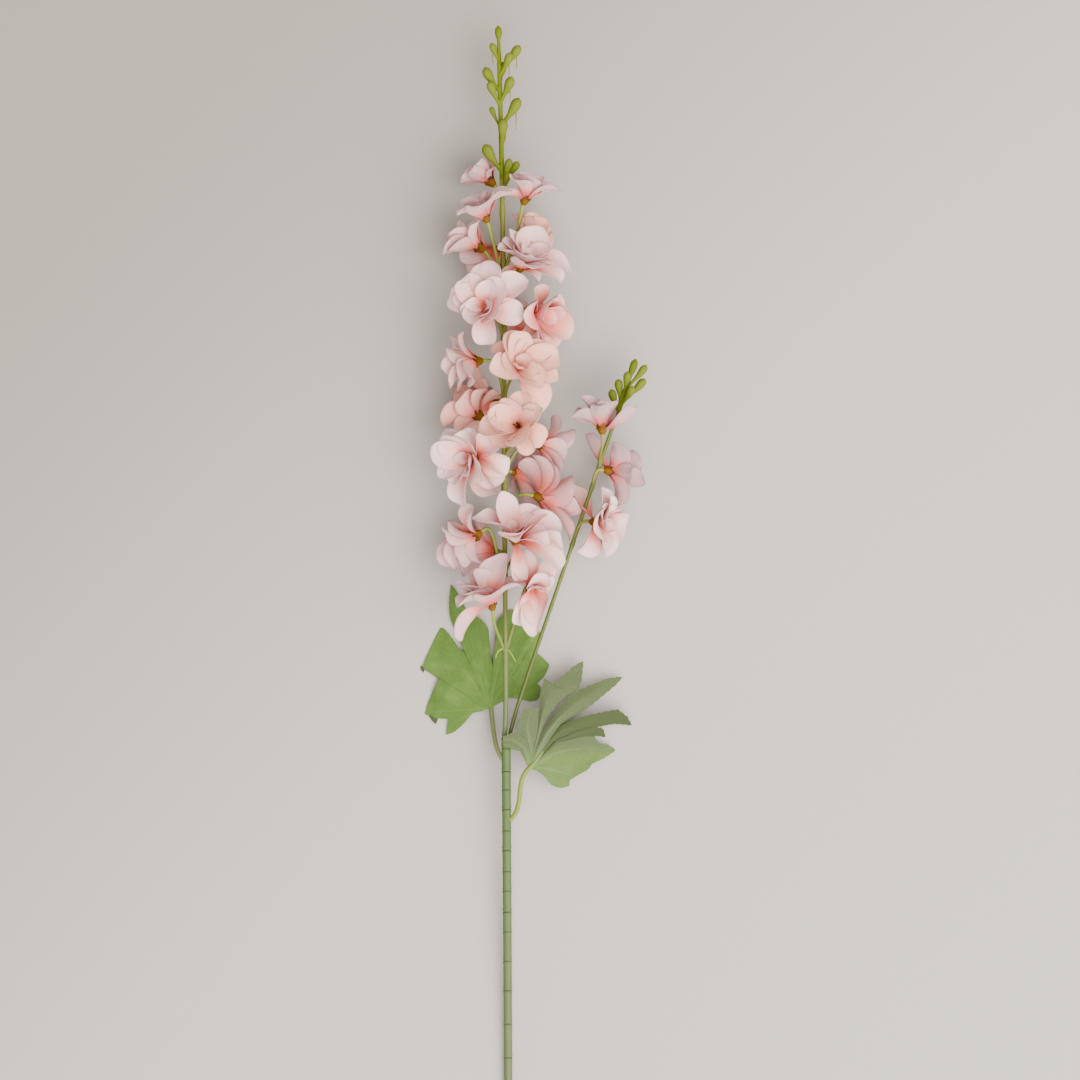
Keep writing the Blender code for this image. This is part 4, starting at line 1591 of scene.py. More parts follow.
    def add_petal(self, bm: BMesh, petal: Petal, bloom: Bloom, walls: Sequence[Wall]) -> None:
        """Add one petal's sheet.

        Args:
            bm: The bloom's mesh.
            petal: The petal.
            bloom: Its bloom.
            walls: The half spaces that it stays in.
        """
        grid = add_grid(bm, self.petal_columns, self.petal_rows)
        across = np.array([vert.co.x for vert, _, _ in grid])
        along = np.array([0.5 * (vert.co.y + 1.0) for vert, _, _ in grid])
        petal = self.fitted(petal, bloom, walls)
        points = self.placed(petal, bloom, across, along)
        moved = self.pressed(points, () if petal.below_stems else walls, petal, bloom.look)
        held_to, loosening = self.held_to
        loose = np.clip((along - held_to) / loosening, 0.0, 1.0)[:, None]
        points = points + (moved - points) * loose
        for (vert, _, _), point in zip(grid, points):
            vert.co = point
        tint = bm.faces.layers.float[TINT]
        shade = bm.faces.layers.float[SHADE]
        faces = faces_of(grid)
        bmesh.ops.reverse_faces(bm, faces=faces)
        for face in faces:
            face[tint] = bloom.tint.value + petal.tint_shift
            # petal.shade is the petal's own random tone; bloom.shade adds painted shade
            face[shade] = petal.shade * bloom.shade

    def add_cup(self, bm: BMesh, bloom: Bloom) -> None:
        """Add the ochre cup, with its rim cut into pointed teeth.

        Args:
            bm: The bloom's mesh.
            bloom: The bloom.
        """
        places, radii = smooth_profile(self.cup_profile, self.cup_rows + 1)
        grid = add_grid(bm, self.cup_columns, self.cup_rows)
        upright = bloom.upright.to_matrix()
        for vert, column, row in grid:
            angle = math.tau * column / self.cup_columns
            notch = abs((self.teeth * column / self.cup_columns) % 1.0 - 0.5) * 2.0
            share = row / self.cup_rows
            height = (places[row] - self.tooth_depth * notch ** 1.2 * share ** 3) * bloom.cup_size
            flare = self.tooth_flare * math.cos(self.teeth * angle) * share
            radius = (radii[row] + flare) * bloom.cup_size
            local = Vector((radius * math.cos(angle), radius * math.sin(angle), height))
            vert.co = bloom.base + upright @ local
        for face in faces_of(grid):
            face.material_index = 1
        bmesh.ops.remove_doubles(bm, verts=[vert for vert, _, _ in grid], dist=MERGE_MM)

    def add_stamens(self, bm: BMesh, bloom: Bloom, seed: int) -> None:
        """Add a small tuft of stamens in the throat.

        Args:
            bm: The bloom's closed bodies.
            bloom: The bloom.
            seed: The bloom's number, which fixes its random draws.
        """
        rng = Random(seed + 500)
        upright = bloom.upright.to_matrix()
        up = Vector((0.0, 0.0, 1.0))
        for index in range(self.stamens):
            angle = math.tau * (index + rng.uniform(-0.2, 0.2)) / self.stamens
            out = Vector((math.cos(angle), math.sin(angle), 0.0))
            height = rng.uniform(*self.stamen_heights)
            end = out * rng.uniform(*self.stamen_spreads) + up * height
            arrive = out * 1.2 + up * (height - 1.5)
            local = bezier(out * 0.4 + up * 5.0, out * 0.5 + up * 8.0, arrive, end, 6)
            route = [bloom.base + upright @ point for point in local]
            sweep(bm, route, self.stamen_radii, sides=6, finish_index=1)

    @staticmethod
    def _add_turned(
        bm: BMesh,
        bloom: Bloom,
        profile: Sequence[Span],
        sides: int,
        finish_index: int,
    ) -> None:
        """Add a turned body on the bloom's axis, from height and radius pairs over its foot."""
        route = [bloom.base + bloom.look * height for height, _ in profile]
        sweep(bm, route, [radius for _, radius in profile], sides, finish_index=finish_index)

    def add_heart(self, bm: BMesh, bloom: Bloom) -> None:
        """Add the coral cloth knot that the inner petals sit on.

        Args:
            bm: The bloom's closed bodies.
            bloom: The bloom.
        """
        before = set(bm.faces)
        self._add_turned(bm, bloom, self.heart, 14, 0)
        surface = bm.loops.layers.uv[SURFACE]
        for face in set(bm.faces) - before:
            face[bm.faces.layers.float[TINT]] = bloom.tint.value
            face[bm.faces.layers.float[SHADE]] = 1.0
            for loop in face.loops:
                loop[surface].uv = (0.5 + 0.3 * (loop[surface].uv.x - 0.5), self.heart_print)

    def make(self, bloom: Bloom, seed: int, rods: Sequence[Rod]) -> None:
        """Build one bloom as a piece of its own.

        Args:
            bloom: The bloom.
            seed: Its number, which fixes its random draws.
            rods: What its petals stay clear of.
        """
        walls = Room(bloom, rods).walls()
        sheets = new_mesh()
        for petal in self.petals(bloom, seed):
            self.add_petal(sheets, petal, bloom, walls)
        self.add_cup(sheets, bloom)
        closed = thickened(sheets, bloom.name + "_sheets", self.petal_thickness)
        bodies = new_mesh()
        self._add_turned(bodies, bloom, self.button, 12, 1)
        if bloom.open_throat:
            self.add_stamens(bodies, bloom, seed)
        else:
            self.add_heart(bodies, bloom)
        meshes = [closed, solid_mesh(bodies, bloom.name + "_bodies")]
        add_piece("petals_" + bloom.name, meshes, [self.cloth, self.cup_plastic], bloom.name)


# Buds


@dataclass(frozen=True)
class Bud:
    """One closed bud: centre of its head, where its neck leaves the stem, and the head's width."""

    head: Triple
    foot: float
    width: float

    def route(self, axis: Axis, steps: int) -> list[Vector]:
        """Centre line from inside the stem to the end of the head.

        Args:
            axis: Axis of the stem that carries the bud.
            steps: Number of stretches.

        Returns:
            The points.
        """
        foot = axis.point(self.foot)
        head = Vector(self.head)
        aim = (head - foot).normalized()
        tip = head + (aim + Vector((0.0, 0.6, 0.0))).normalized() * self.width * 0.85
        return bezier(foot, foot + (head - foot) * 0.45, head - (tip - head) * 0.6, tip, steps)


SPIRE_BUDS = (
    Bud((-8.9, 343, 36), 334, 5), Bud((7, 340.5, 36), 328, 6.5), Bud((1.8, 335, 39.5), 324, 6),
    Bud((-2.6, 330, 28.5), 320, 6.5), Bud((-12.6, 324.8, 34), 313, 7), Bud((-10.2, 315, 38.5), 303, 6),
    Bud((2.4, 317.5, 38.5), 306, 7), Bud((6.6, 303, 34), 289, 7.6), Bud((-9.6, 300, 31), 287, 4),
    Bud((-2.1, 287.4, 39.5), 275, 7.2), Bud((-2.6, 282, 28), 271, 5.6), Bud((-12.2, 270, 36), 258, 8),
    Bud((6.6, 260.4, 33.8), 250, 5.6), Bud((1.8, 261.4, 37.2), 247, 5.8), Bud((0.9, 252.8, 37.4), 241, 5),
)
SIDE_BUDS = (
    Bud((95.6, 118, 36), 106, 5.6), Bud((84.6, 113, 37), 102, 5.6), Bud((94.4, 108.5, 31.5), 97, 6.2),
    Bud((78.9, 107.5, 33), 96, 6), Bud((87, 103, 39), 93, 5.8), Bud((74.6, 100.5, 33.5), 90, 6),
)
SPIRE_STEM = (
    (251.75, 1.75), (275, 1.75), (300, 1.65), (325, 1.6), (340, 1.5), (346, 1.3), (349.5, 1.25), (352, 2.1),
    (354.8, 2.5), (357.4, 2.15), (359.3, 0.5),
)
SIDE_TIP_STEM = (
    (78.05, 1.35), (88, 2), (98, 2.1), (106, 1.7), (112, 1.4), (115, 1.6), (118.5, 2.4), (121.5, 2.65),
    (124.5, 2.2), (126.5, 0.5),
)
BUD_PROFILE = (
    (0, 0.46), (0.2, 0.42), (0.4, 0.46), (0.55, 0.66), (0.7, 0.88), (0.82, 0.98), (0.91, 0.86),
    (0.97, 0.52), (1, 0.1),
)


@dataclass
class BudTip:
    """A moulded tip of closed buds round a tapering stem, some of them with a thin wisp."""

    name: str
    node: str
    plastic: Material
    axis: Axis
    stem: Sequence[Span]
    buds: Sequence[Bud]
    wisps: Sequence[tuple[int, float]] = ()
    stem_steps: int = 60
    bud_steps: int = 20
    bud_tone: float = 0.55
    wisp_steps: int = 8
    wisp_radius: float = 0.6
    wisp_tone: float = 0.9

    def make(self) -> None:
        """Build the tip as one piece."""
        bm = new_mesh()
        places, radii = smooth_profile(self.stem, self.stem_steps)
        sweep(bm, [self.axis.point(y) for y in places], radii, sides=14)
        shares, widths = smooth_profile(BUD_PROFILE, self.bud_steps + 1)
        marks = [self.bud_tone * share for share in shares]
        for bud in self.buds:
            route = bud.route(self.axis, self.bud_steps)
            sweep(bm, route, [0.5 * bud.width * width for width in widths], 12, marks)
        for index, length in self.wisps:
            self._add_wisp(bm, self.buds[index], length)
        add_piece(self.name, [solid_mesh(bm, self.name)], [self.plastic], self.node)

    def _add_wisp(self, bm: BMesh, bud: Bud, length: float) -> None:
        """Add a thin tail that hangs back from under a bud's head.

        Args:
            bm: The tip's mesh.
            bud: The bud.
            length: Length of the tail.
        """
        head = Vector(bud.head)
        outward = math.copysign(0.5, head.x - self.axis.point(head.y).x)
        end = head + Vector((outward * 0.4, -length, -1.0))
        leave = head + Vector((outward, -0.3 * length, 0.0))
        steps = self.wisp_steps
        route = bezier(head, leave, end + Vector((outward, 3.0, 0.0)), end, steps)
        radii = [self.wisp_radius * (1.0 - 0.7 * step / steps) for step in range(steps + 1)]
        sweep(bm, route, radii, 6, [self.wisp_tone] * len(route))


# Stems


@dataclass
class LowerStem:
    """The thick stem: leaf scars as grooves between two lips, on a slightly uneven rod.

    The lip's rows are a place along the stem, how far it stands proud there, and its mark.
    """

    plastic: Material
    foot_radius: float = 2.8
    top_radius: float = 3.2
    scar_sizes: Span = (0.65, 1.15)
    scars: tuple[float, ...] = (
        -428, -396, -366, -342, -318, -297, -276, -262, -247, -233, -218, -204, -189, -175, -162, -146,
    )
    # the mark lays the groove colour in the recess: partly the scars' own tone, partly painted shade
    lip: tuple[Triple, ...] = (
        (-3.2, 0, 0), (-1.6, 0.2, 0), (-0.7, 0.26, 0), (-0.35, 0.02, 0.5), (0, -0.34, 1),
        (0.35, -0.12, 0.5), (0.7, 0.28, 0), (1.4, 0.3, 0), (2.8, 0, 0),
    )
    foot: tuple[Triple, ...] = ((0, -0.5, 0.6), (0.5, 0, 0.2))
    top: tuple[Triple, ...] = ((-2.5, 0, 0), (-0.6, 0.25, 0.1), (0, -0.1, 0.3))

    def make(self) -> None:
        """Build the stem as one piece."""
        rows = [(MAIN_AXIS.cut_end_y + place, proud, mark) for place, proud, mark in self.foot]
        rng = Random(3)
        for scar in self.scars:
            size = rng.uniform(*self.scar_sizes)
            rows.extend((scar + place, proud * size, mark) for place, proud, mark in self.lip)
        rows.extend((MAIN_AXIS.stem_top_y + place, proud, mark) for place, proud, mark in self.top)
        radii = [self._radius(y) + proud for y, proud, mark in rows]
        bm = new_mesh()
        sweep(bm, [MAIN_AXIS.point(row[0]) for row in rows], radii, 28, [row[2] for row in rows])
        add_piece("ringed_stem", [solid_mesh(bm, "ringed_stem")], [self.plastic], "lower_stem")

    def _radius(self, y: float) -> float:
        """Radius of the plain rod at a place along it."""
        part = (y - MAIN_AXIS.cut_end_y) / (MAIN_AXIS.stem_top_y - MAIN_AXIS.cut_end_y)
        return self.foot_radius + (self.top_radius - self.foot_radius) * part


@dataclass
class StalkedStem:
    """A slender stem with the stalks of its blooms and, on the main one, two bracts.

    A swell is how far it stands proud and over what length, which is a share of a stalk's own.
    """

    name: str
    node: str
    plastic: Material
    axis: Axis
    branch: Branch
    start_y: float
    end_y: float
    radius: float
    knots: Sequence[float]
    bracts_y: float | None = None
    fork_offset: float = 0
    fork_run: float = 9
    step: float = 3
    thickest_swell: float = 0.6
    branching_swell: Span = (0.5, 3)
    knot_swell: Span = (0.22, 1.8)
    stalk_radius: float = 1.12
    stalk_foot_swell: Span = (0.45, 0.08)
    stalk_cup_swell: Span = (0.35, 0.06)
    stalk_tone: float = 0.75
    bract_radius: float = 0.8
    bract_steps: int = 12
    bracts: tuple[tuple[Triple, Triple], ...] = (
        ((-5.6, -0.2, 2), (-6.8, -6.2, 2.5)), ((3.6, -1.8, 3), (7.2, -9.2, 3.5)),
    )

    def make(self) -> None:
        """Build the stem and its stalks as one piece."""
        bm = new_mesh()
        length = self.end_y - self.start_y
        count = round(length / self.step)
        places = [self.start_y + length * index / count for index in range(count + 1)]
        blooms = [bloom for bloom in BLOOMS if bloom.branch is self.branch]
        radii = [self.radius + self._swelling(y, blooms) for y in places]
        points = []
        for y in places:
            near = math.exp(-(y - self.start_y) / self.fork_run)
            points.append(self.axis.point(y) + Vector((self.fork_offset * near, 0.0, 0.0)))
        sweep(bm, points, radii, 16)
        for bloom in blooms:
            self._add_stalk(bm, bloom)
        if self.bracts_y is not None:
            self._add_bracts(bm, self.axis.point(self.bracts_y))
        add_piece(self.name, [solid_mesh(bm, self.name)], [self.plastic], self.node)

    def _swelling(self, y: float, blooms: Sequence[Bloom]) -> float:
        """How far the stem stands proud, where a stalk leaves it or at a knot.

        Args:
            y: Place along the spray.
            blooms: The blooms whose stalks leave it.

        Returns:
            The swelling.
        """
        proud, run = self.branching_swell
        at_feet = sum(proud * math.exp(-((y - bloom.foot - 1.0) / run) ** 2) for bloom in blooms)
        proud, run = self.knot_swell
        at_knots = sum(proud * math.exp(-((y - knot) / run) ** 2) for knot in self.knots)
        return min(self.thickest_swell, at_feet + at_knots)

    def _add_stalk(self, bm: BMesh, bloom: Bloom) -> None:
        """Add one stalk, which thickens at its foot and under the cup.

        Args:
            bm: The stem's mesh.
            bloom: The bloom that it carries.
        """
        route = stalk_route(bloom, 16)
        shares = [index / (len(route) - 1) for index in range(len(route))]
        foot, foot_run = self.stalk_foot_swell
        cup, cup_run = self.stalk_cup_swell
        swells = [
            foot * math.exp(-share / foot_run) + cup * math.exp(-(1.0 - share) / cup_run)
            for share in shares
        ]
        marks = [self.stalk_tone * share for share in shares]
        sweep(bm, route, [self.stalk_radius + swell for swell in swells], 12, marks)

    def _add_bracts(self, bm: BMesh, scar: Vector) -> None:
        """Add the two small hooks that curl off the stem.

        Args:
            bm: The stem's mesh.
            scar: Where they leave it.
        """
        steps = self.bract_steps
        for pull, end in self.bracts:
            handle = Vector(pull)
            route = bezier(scar, scar + handle * 0.5, scar + handle, scar + Vector(end), steps)
            radii = [self.bract_radius * (1.0 - 0.55 * (step / steps) ** 1.5) for step in range(steps + 1)]
            sweep(bm, route, radii, 10, [1.0] * len(route))


@dataclass
class Petiole:
    """The stalk of one leaf."""

    name: str
    node: str
    plastic: Material
    points: Sequence[Vector]
    radii: Sequence[float]

    def make(self) -> None:
        """Build the stalk as one piece."""
        bm = new_mesh()
        sweep(bm, self.points, self.radii, 14)
        add_piece(self.name, [solid_mesh(bm, self.name)], [self.plastic], self.node)


# Leaves


LEFT_LEAF_BASE = Vector((-11.9, -119.0, 10.0))
LEFT_LEAF_OUTLINE = (
    (-29, -7.5, 3), (-36.5, -7.4, 1.2), (-43, -5.6, 0.8), (-46.2, -4.2, 0.4), (-35.5, 21, 4),
    (-47.6, 28.6, 0.8), (-35, 56.7, 0.8), (-32.4, 56.2, 1.2), (-28, 51, 2.2), (-22.5, 42.8, 3.6),
    (-16.7, 38, 4.6), (-19.2, 48.2, 3.6), (-25.3, 57.4, 2.2), (-28.4, 66, 1.4), (-27.5, 87.5, 0.8),
    (-24.2, 84, 1.4), (-16.5, 68.9, 2.4), (-7.2, 63.4, 3), (-4.4, 61.1, 3), (-1.2, 56.8, 3.2),
    (-0.6, 50, 4), (0.3, 39, 5.4), (1.9, 26, 7), (3.9, 39, 5.4), (5, 50, 4), (5, 61.1, 2.8), (7.2, 64, 2.6),
    (16.8, 70, 1.6), (18.9, 59.5, 3), (29.4, 57.4, 1.4), (30.1, 53.9, 2), (35.7, 53.9, 1),
    (32.9, 39.2, 2.6), (40.4, 32.8, 0.8), (42.4, 30.4, 0.7), (38.6, 22, 2), (33.4, 17.6, 3),
)
RIGHT_LEAF_BASE = Vector((15.7, -160.3, 30.0))


@dataclass(frozen=True)
class Lobe:
    """One lobe of a cloth leaf, between two edges that run outward from its root.

    The edges' points are X and Y from the leaf's base, and height over the surface.
    """

    first: tuple[Triple, ...]
    second: tuple[Triple, ...]
    fold: float = 1.6
    turned: bool = False


LEFT_LEAF_FOLDS = (
    Lobe((
        (-4.4, -1.9, 9.4), (-11.2, -3, 7.9), (-13.7, -5.4, 6.8), (-18, -11, 4.2), (-25.6, -17.6, 1.8),
        (-31.1, -19.1, 0.8)), (
        (-4.4, -0.9, 9.6), (-11.2, -2.4, 8.2), (-20, -4.6, 5.9), (-29, -7, 3.1), (-30, -13, 1.9),
        (-31.1, -19.1, 0.8)), 0.3),
    Lobe((
        (14, 7.3, 7.8), (21, 7, 6.2), (28.7, 4.4, 4.2), (34, 5.5, 2.6), (36.4, 10.2, 2)), (
        (14, 7.5, 7.9), (22, 11.8, 6), (33.4, 17.6, 3.1), (36, 14.6, 2), (36.4, 10.2, 2)), 0.3),
    Lobe((
        (-43.2, -5.6, 1.3), (-41, -9, 1), (-38.1, -11.8, 0.8)), (
        (-36.4, -4.6, 2), (-36.8, -8.5, 1.3), (-38.1, -11.8, 0.8)), 0.2, True),
    Lobe((
        (-48.9, 29.6, 1), (-49, 27, 0.9), (-46.9, 24.8, 0.8)), (
        (-45.4, 28.8, 1.6), (-46, 27, 1.2), (-46.9, 24.8, 0.8)), 0.2, True),
)
RIGHT_LEAF_LOBES = (
    Lobe((
        (0, 0, 30), (-2.6, 6.3, 30.6), (-6, 13, 31.2), (-11.4, 14.7, 32), (-17.2, 16.6, 32),
        (-18, 20, 32.4)), (
        (0, 0, 30), (2.6, 9.5, 30.6), (0.5, 16, 31.4), (-3.3, 21, 33.4), (-9, 26.2, 34.2),
        (-13.4, 24.6, 33.6), (-17.6, 22.6, 32.8)), 0.8),
    Lobe((
        (0, 0, 30), (2.4, 9, 30.4), (0, 16, 31), (-3.6, 20.5, 32.4), (-7.6, 27.5, 33.4), (-7, 32, 33.4),
        (-4.5, 37.5, 32.6), (-2.6, 41.8, 31.6)), (
        (0, 0, 30), (2.6, 9, 30.6), (4.4, 18, 30.4), (6, 27, 30), (6.4, 34, 29.6), (6.4, 40, 29.6),
        (7, 43.4, 29.4)), 1.6),
    Lobe((
        (0, 0, 30), (2.6, 9, 30.6), (4.6, 18, 30.4), (6.4, 27, 30), (7.6, 36, 28.8), (8.6, 45, 27.4),
        (8.6, 52, 26), (11.4, 63.2, 23), (17.4, 57.9, 23.4), (24, 64, 19.6), (31, 70.5, 15),
        (38.5, 74.9, 11)), (
        (0, 0, 30), (3.2, 9, 30.8), (6.2, 18, 30.6), (9, 26.9, 30), (13.2, 36.6, 27.8), (19.8, 45.8, 25),
        (26.5, 51.4, 21.6), (34.4, 55.2, 17.8), (36.6, 60, 15.4), (37.2, 63.2, 14.2), (38, 69, 12.4),
        (38.5, 74.9, 11)), 2.2),
    Lobe((
        (0, 0, 30), (3.4, 9, 30.8), (6.4, 18, 30.6), (9.6, 26.4, 30), (16.9, 37.2, 27.6),
        (23.5, 44.6, 24.6), (29, 50.4, 21.6), (34.4, 53.6, 19), (43.5, 57.5, 15), (55.6, 62.2, 9.4),
        (66.4, 63.4, 5)), (
        (0, 0, 30), (6.4, 8.4, 30.6), (12.6, 16.6, 29.8), (17, 23, 28.6), (23.5, 30.4, 26),
        (33.5, 37.8, 22.4), (44.9, 45.1, 17.4), (57, 54.5, 10.6), (62.5, 59, 7.4), (66.4, 63.4, 5)), 3.4),
    Lobe((
        (0, 0, 30), (8, 8.6, 29.8), (16, 17.6, 27.4), (26, 22.5, 22.8), (36, 24.6, 17.4), (45, 25, 12.6),
        (47.6, 19, 10), (50.9, 15.7, 7.6), (55.6, 15.3, 4.8), (61.6, 11.3, 0.8)), (
        (0, 0, 30), (9, 1.8, 29.4), (18, 3, 26.6), (27, 2.8, 21.6), (36, 2, 15.6), (44.2, 2.3, 10.4),
        (48, 4, 8.2), (52.3, 5.6, 5.6), (57, 8.3, 3), (61.6, 11.3, 0.8)), 1.6),
    Lobe((
        (0, 0, 30), (9, 2, 29.3), (18, 3.2, 26.4), (27, 3, 21.4), (36, 1.8, 15.4), (44.6, 2, 10.8),
        (41.4, -2.1, 11.6), (33.9, -5.2, 13), (28.6, -5.8, 14.4), (28.8, -13.1, 11)), (
        (0, 0, 30), (3, -0.4, 29.4), (6.1, -1.4, 28.4), (9, -3.5, 26.6), (12.1, -6.4, 24),
        (16.8, -11.8, 18.4), (20, -13.6, 15.4), (23.5, -14.4, 13), (28.8, -13.1, 11)), 1),
    Lobe((
        (7, 7, 30.4), (13.5, 13.8, 29.4), (19.8, 20.2, 28), (33.5, 25.6, 24.6), (46, 29, 19.4),
        (52.3, 27.1, 15), (54.3, 21.2, 10.6)), (
        (8, 6.2, 29.6), (14.5, 11.6, 27.8), (20, 17.6, 25.4), (36.9, 22.4, 19.4), (46.3, 22.6, 14.4),
        (50.9, 22, 12), (54.3, 21.2, 10.6)), 1.2, True),
    Lobe((
        (6.4, 8.4, 30.8), (12.6, 17, 30.2), (17.4, 23.6, 29.4), (22.8, 30.6, 28.4), (33.5, 35, 26.8),
        (50.2, 38.6, 21.6), (63, 40.5, 14.6), (69.7, 35.1, 8.6), (73, 29.1, 3.4)), (
        (7, 7.4, 30.4), (13.5, 14.6, 29.6), (19.4, 20.8, 28.4), (33.5, 25.8, 24), (49.6, 29.4, 17),
        (60.3, 30.8, 11), (66.3, 30.2, 7.6), (70.5, 29.6, 5), (73, 29.1, 3.4)), 1.8, True),
)


SMOOTHINGS = 6


def edge_points(corners: Sequence[Triple], steps: int) -> list[Vector]:
    """Even places along an edge, whose heights are smoothed.

    Args:
        corners: Corners of the edge.
        steps: Number of stretches wanted.

    Returns:
        The places, one more than the steps.
    """
    known = np.array(corners)
    runs = np.concatenate(([0.0], np.cumsum(np.linalg.norm(np.diff(known, axis=0), axis=1))))
    places = np.linspace(0.0, runs[-1], steps + 1)
    found = np.stack([np.interp(places, runs, known[:, axis]) for axis in range(3)], axis=1)
    for repeat in range(SMOOTHINGS):
        found[1:-1, 2] = 0.25 * found[:-2, 2] + 0.5 * found[1:-1, 2] + 0.25 * found[2:, 2]
    return [Vector(place) for place in found]


@dataclass
class ClothLobes:
    """Adds lobes to a cloth leaf's mesh: each is a strip with a soft fold along it and fine teeth."""

    base: Vector
    tooth: float
    tooth_every: float = 2.6
    columns: int = 12
    rows: int = 52
    slit_end: float = 0.42
    full_width: float = 9
    lowest: float = 0.45

    def add(self, bm: BMesh, lobe: Lobe) -> None:
        """Add one lobe's sheet.

        Args:
            bm: The leaf's mesh.
            lobe: The lobe.
        """
        first = edge_points(lobe.first, self.rows)
        second = edge_points(lobe.second, self.rows)
        grid = add_grid(bm, self.columns, self.rows)
        mark = bm.verts.layers.float[MARK]
        places = {}
        for vert, column, row in grid:
            across = column / self.columns
            place, width = self._place(first[row], second[row], across, row)
            side = 2.0 * across - 1.0
            swell = math.sin(math.pi * min(1.0, 0.12 + row / self.rows))
            place.z += lobe.fold * (1.0 - abs(side) ** 1.4) * min(1.0, width / self.full_width) * swell
            vert.co = Vector((self.base.x + place.x, self.base.y + place.y, max(self.lowest, place.z)))
            vert[mark] = row / self.rows
            places[vert] = (0.5 * abs(side) * width, place.xy.length)
        faces = faces_of(grid)
        set_surface(bm, faces, places)
        for face in faces:
            face.normal_update()
        upside_down = sum(face.normal.z * face.calc_area() for face in faces) < 0.0
        if upside_down != lobe.turned:
            bmesh.ops.reverse_faces(bm, faces=faces)

    def _place(self, first: Vector, second: Vector, across: float, row: int) -> tuple[Vector, float]:
        """A place between two edges, which are toothed past the slits.

        Args:
            first: Place on the first edge.
            second: Place on the second edge.
            across: Share of the way between them.
            row: Row of the lobe's grid.

        Returns:
            The place, and the lobe's width there.
        """
        apart = second - first
        width = apart.length
        toothed = min(1.0, max(0.0, (row / self.rows - self.slit_end) / 0.1))
        bite = self.tooth * toothed * (((row * 1.7) / self.tooth_every) % 1.0)
        outward = (2.0 * across - 1.0) ** 9 * bite
        place = first + apart * across
        if width > 0.5:
            place = place + apart.normalized() * outward
        return place, width


@dataclass
class LobedLeaf:
    """A palmate cloth leaf whose lobes fold over each other."""

    name: str
    node: str
    cloth: Material
    shaper: ClothLobes
    lobes: Sequence[Lobe]
    merge_mm: float = 0.002
    thickness: float = 0.4

    def make(self) -> None:
        """Build the leaf as one piece."""
        bm = new_mesh()
        for lobe in self.lobes:
            self.shaper.add(bm, lobe)
        bmesh.ops.remove_doubles(bm, verts=bm.verts, dist=self.merge_mm)
        closed = thickened(bm, self.name, self.thickness)
        add_piece(self.name, [closed], [self.cloth], self.node)


@dataclass
class PalmateLeaf:
    """A palmate cloth leaf, fanned out from its base to a toothed outline, with folds laid on it.

    The vein tips are the outline's corners that a main vein ends in.
    """

    name: str
    node: str
    cloth: Material
    base: Vector
    outline: Sequence[Triple]
    vein_tips: Sequence[int]
    tooth: float
    tooth_every: float = 3
    stretch: float = 1.1
    rows: int = 22
    first_row: float = 0.01
    arch: float = 1.4
    furrow: float = 0.25
    furrow_width: float = 1.1
    pleat: float = 0.4
    pleat_width: float = 9
    wave: float = 0.35
    wave_rate: float = 0.16
    folds: Sequence[Lobe] = ()
    lowest: float = 0.45
    thickness: float = 0.4

    def _edge(self) -> list[Vector]:
        """The outline with fine teeth.

        Returns:
            Points along it.
        """
        edge = []
        corners = [Vector(corner) for corner in self.outline]
        for first, second in zip(corners, corners[1:]):
            run = second - first
            steps = max(2, round(run.length / self.stretch))
            flat = Vector((run.y, -run.x, 0.0)).normalized()
            out = flat if flat.dot(first) > 0.0 else -flat
            for step in range(steps):
                share = step / steps
                along = share * run.length / self.tooth_every
                bite = self.tooth * (along % 1.0) * min(1.0, 4.0 * share, 4.0 * (1.0 - share))
                bow = 0.02 * run.length * math.sin(math.pi * share)
                edge.append(first + run * share + out * (bow + bite - 0.3 * self.tooth))
        edge.append(corners[-1])
        return edge

    def _vein_place(self, x: float, y: float) -> Span:
        """Where a point lies by the main vein that is nearest in direction.

        Args:
            x: Place across the spray, from the base.
            y: Place along it.

        Returns:
            The distances beside and along the vein.
        """
        best = (0, 0)
        best_angle = math.tau
        for index in self.vein_tips:
            aim = Vector(self.outline[index][:2]).normalized()
            along = aim.x * x + aim.y * y
            beside = abs(aim.x * y - aim.y * x)
            angle = math.atan2(beside, along)
            if angle < best_angle:
                best = (beside, along)
                best_angle = angle
        return best

    def _relief(self, x: float, y: float, beside: float, phases: Sequence[float]) -> float:
        """How far the cloth stands proud of its plain arch: the veins' furrows and pleats, and waves.

        Args:
            x: Place across the spray, from the base.
            y: Place along it.
            beside: Distance beside the nearest vein.
            phases: Direction and phase of each wave.

        Returns:
            The height.
        """
        vein = -self.furrow * math.exp(-(beside / self.furrow_width) ** 2)
        pleat = self.pleat * math.sin(min(1.0, beside / self.pleat_width) * math.pi)
        waves = sum(
            self.wave * math.sin(
                self.wave_rate * (x * math.cos(phase) + y * math.sin(phase)) * (1.0 + 0.5 * turn) + phase
            )
            for turn, phase in enumerate(phases)
        )
        return vein + pleat + waves

    def make(self) -> None:
        """Build the leaf as one piece."""
        edge = self._edge()
        bm = new_mesh()
        mark = bm.verts.layers.float[MARK]
        rng = Random(len(edge))
        phases = [rng.uniform(0.0, math.tau) for index in range(3)]
        places = {}
        for vert, column, row in add_grid(bm, len(edge) - 1, self.rows):
            share = self.first_row + (1.0 - self.first_row) * row / self.rows
            rim = edge[column]
            x, y = rim.x * share, rim.y * share
            beside, along = self._vein_place(x, y)
            drop = (self.base.z - rim.z) * share ** self.arch
            height = self.base.z - drop + self._relief(x, y, beside, phases) * share
            vert.co = Vector((self.base.x + x, self.base.y + y, max(self.lowest, height)))
            vert[mark] = share
            places[vert] = (beside, along)
        set_surface(bm, bm.faces, places)
        bmesh.ops.recalc_face_normals(bm, faces=bm.faces)
        if sum(face.normal.z for face in bm.faces) < 0.0:
            bmesh.ops.reverse_faces(bm, faces=bm.faces)
        shaper = ClothLobes(self.base, 0.0, columns=6, rows=14)
        for fold in self.folds:
            shaper.add(bm, fold)
        closed = thickened(bm, self.name, self.thickness)
        add_piece(self.name, [closed], [self.cloth], self.node)


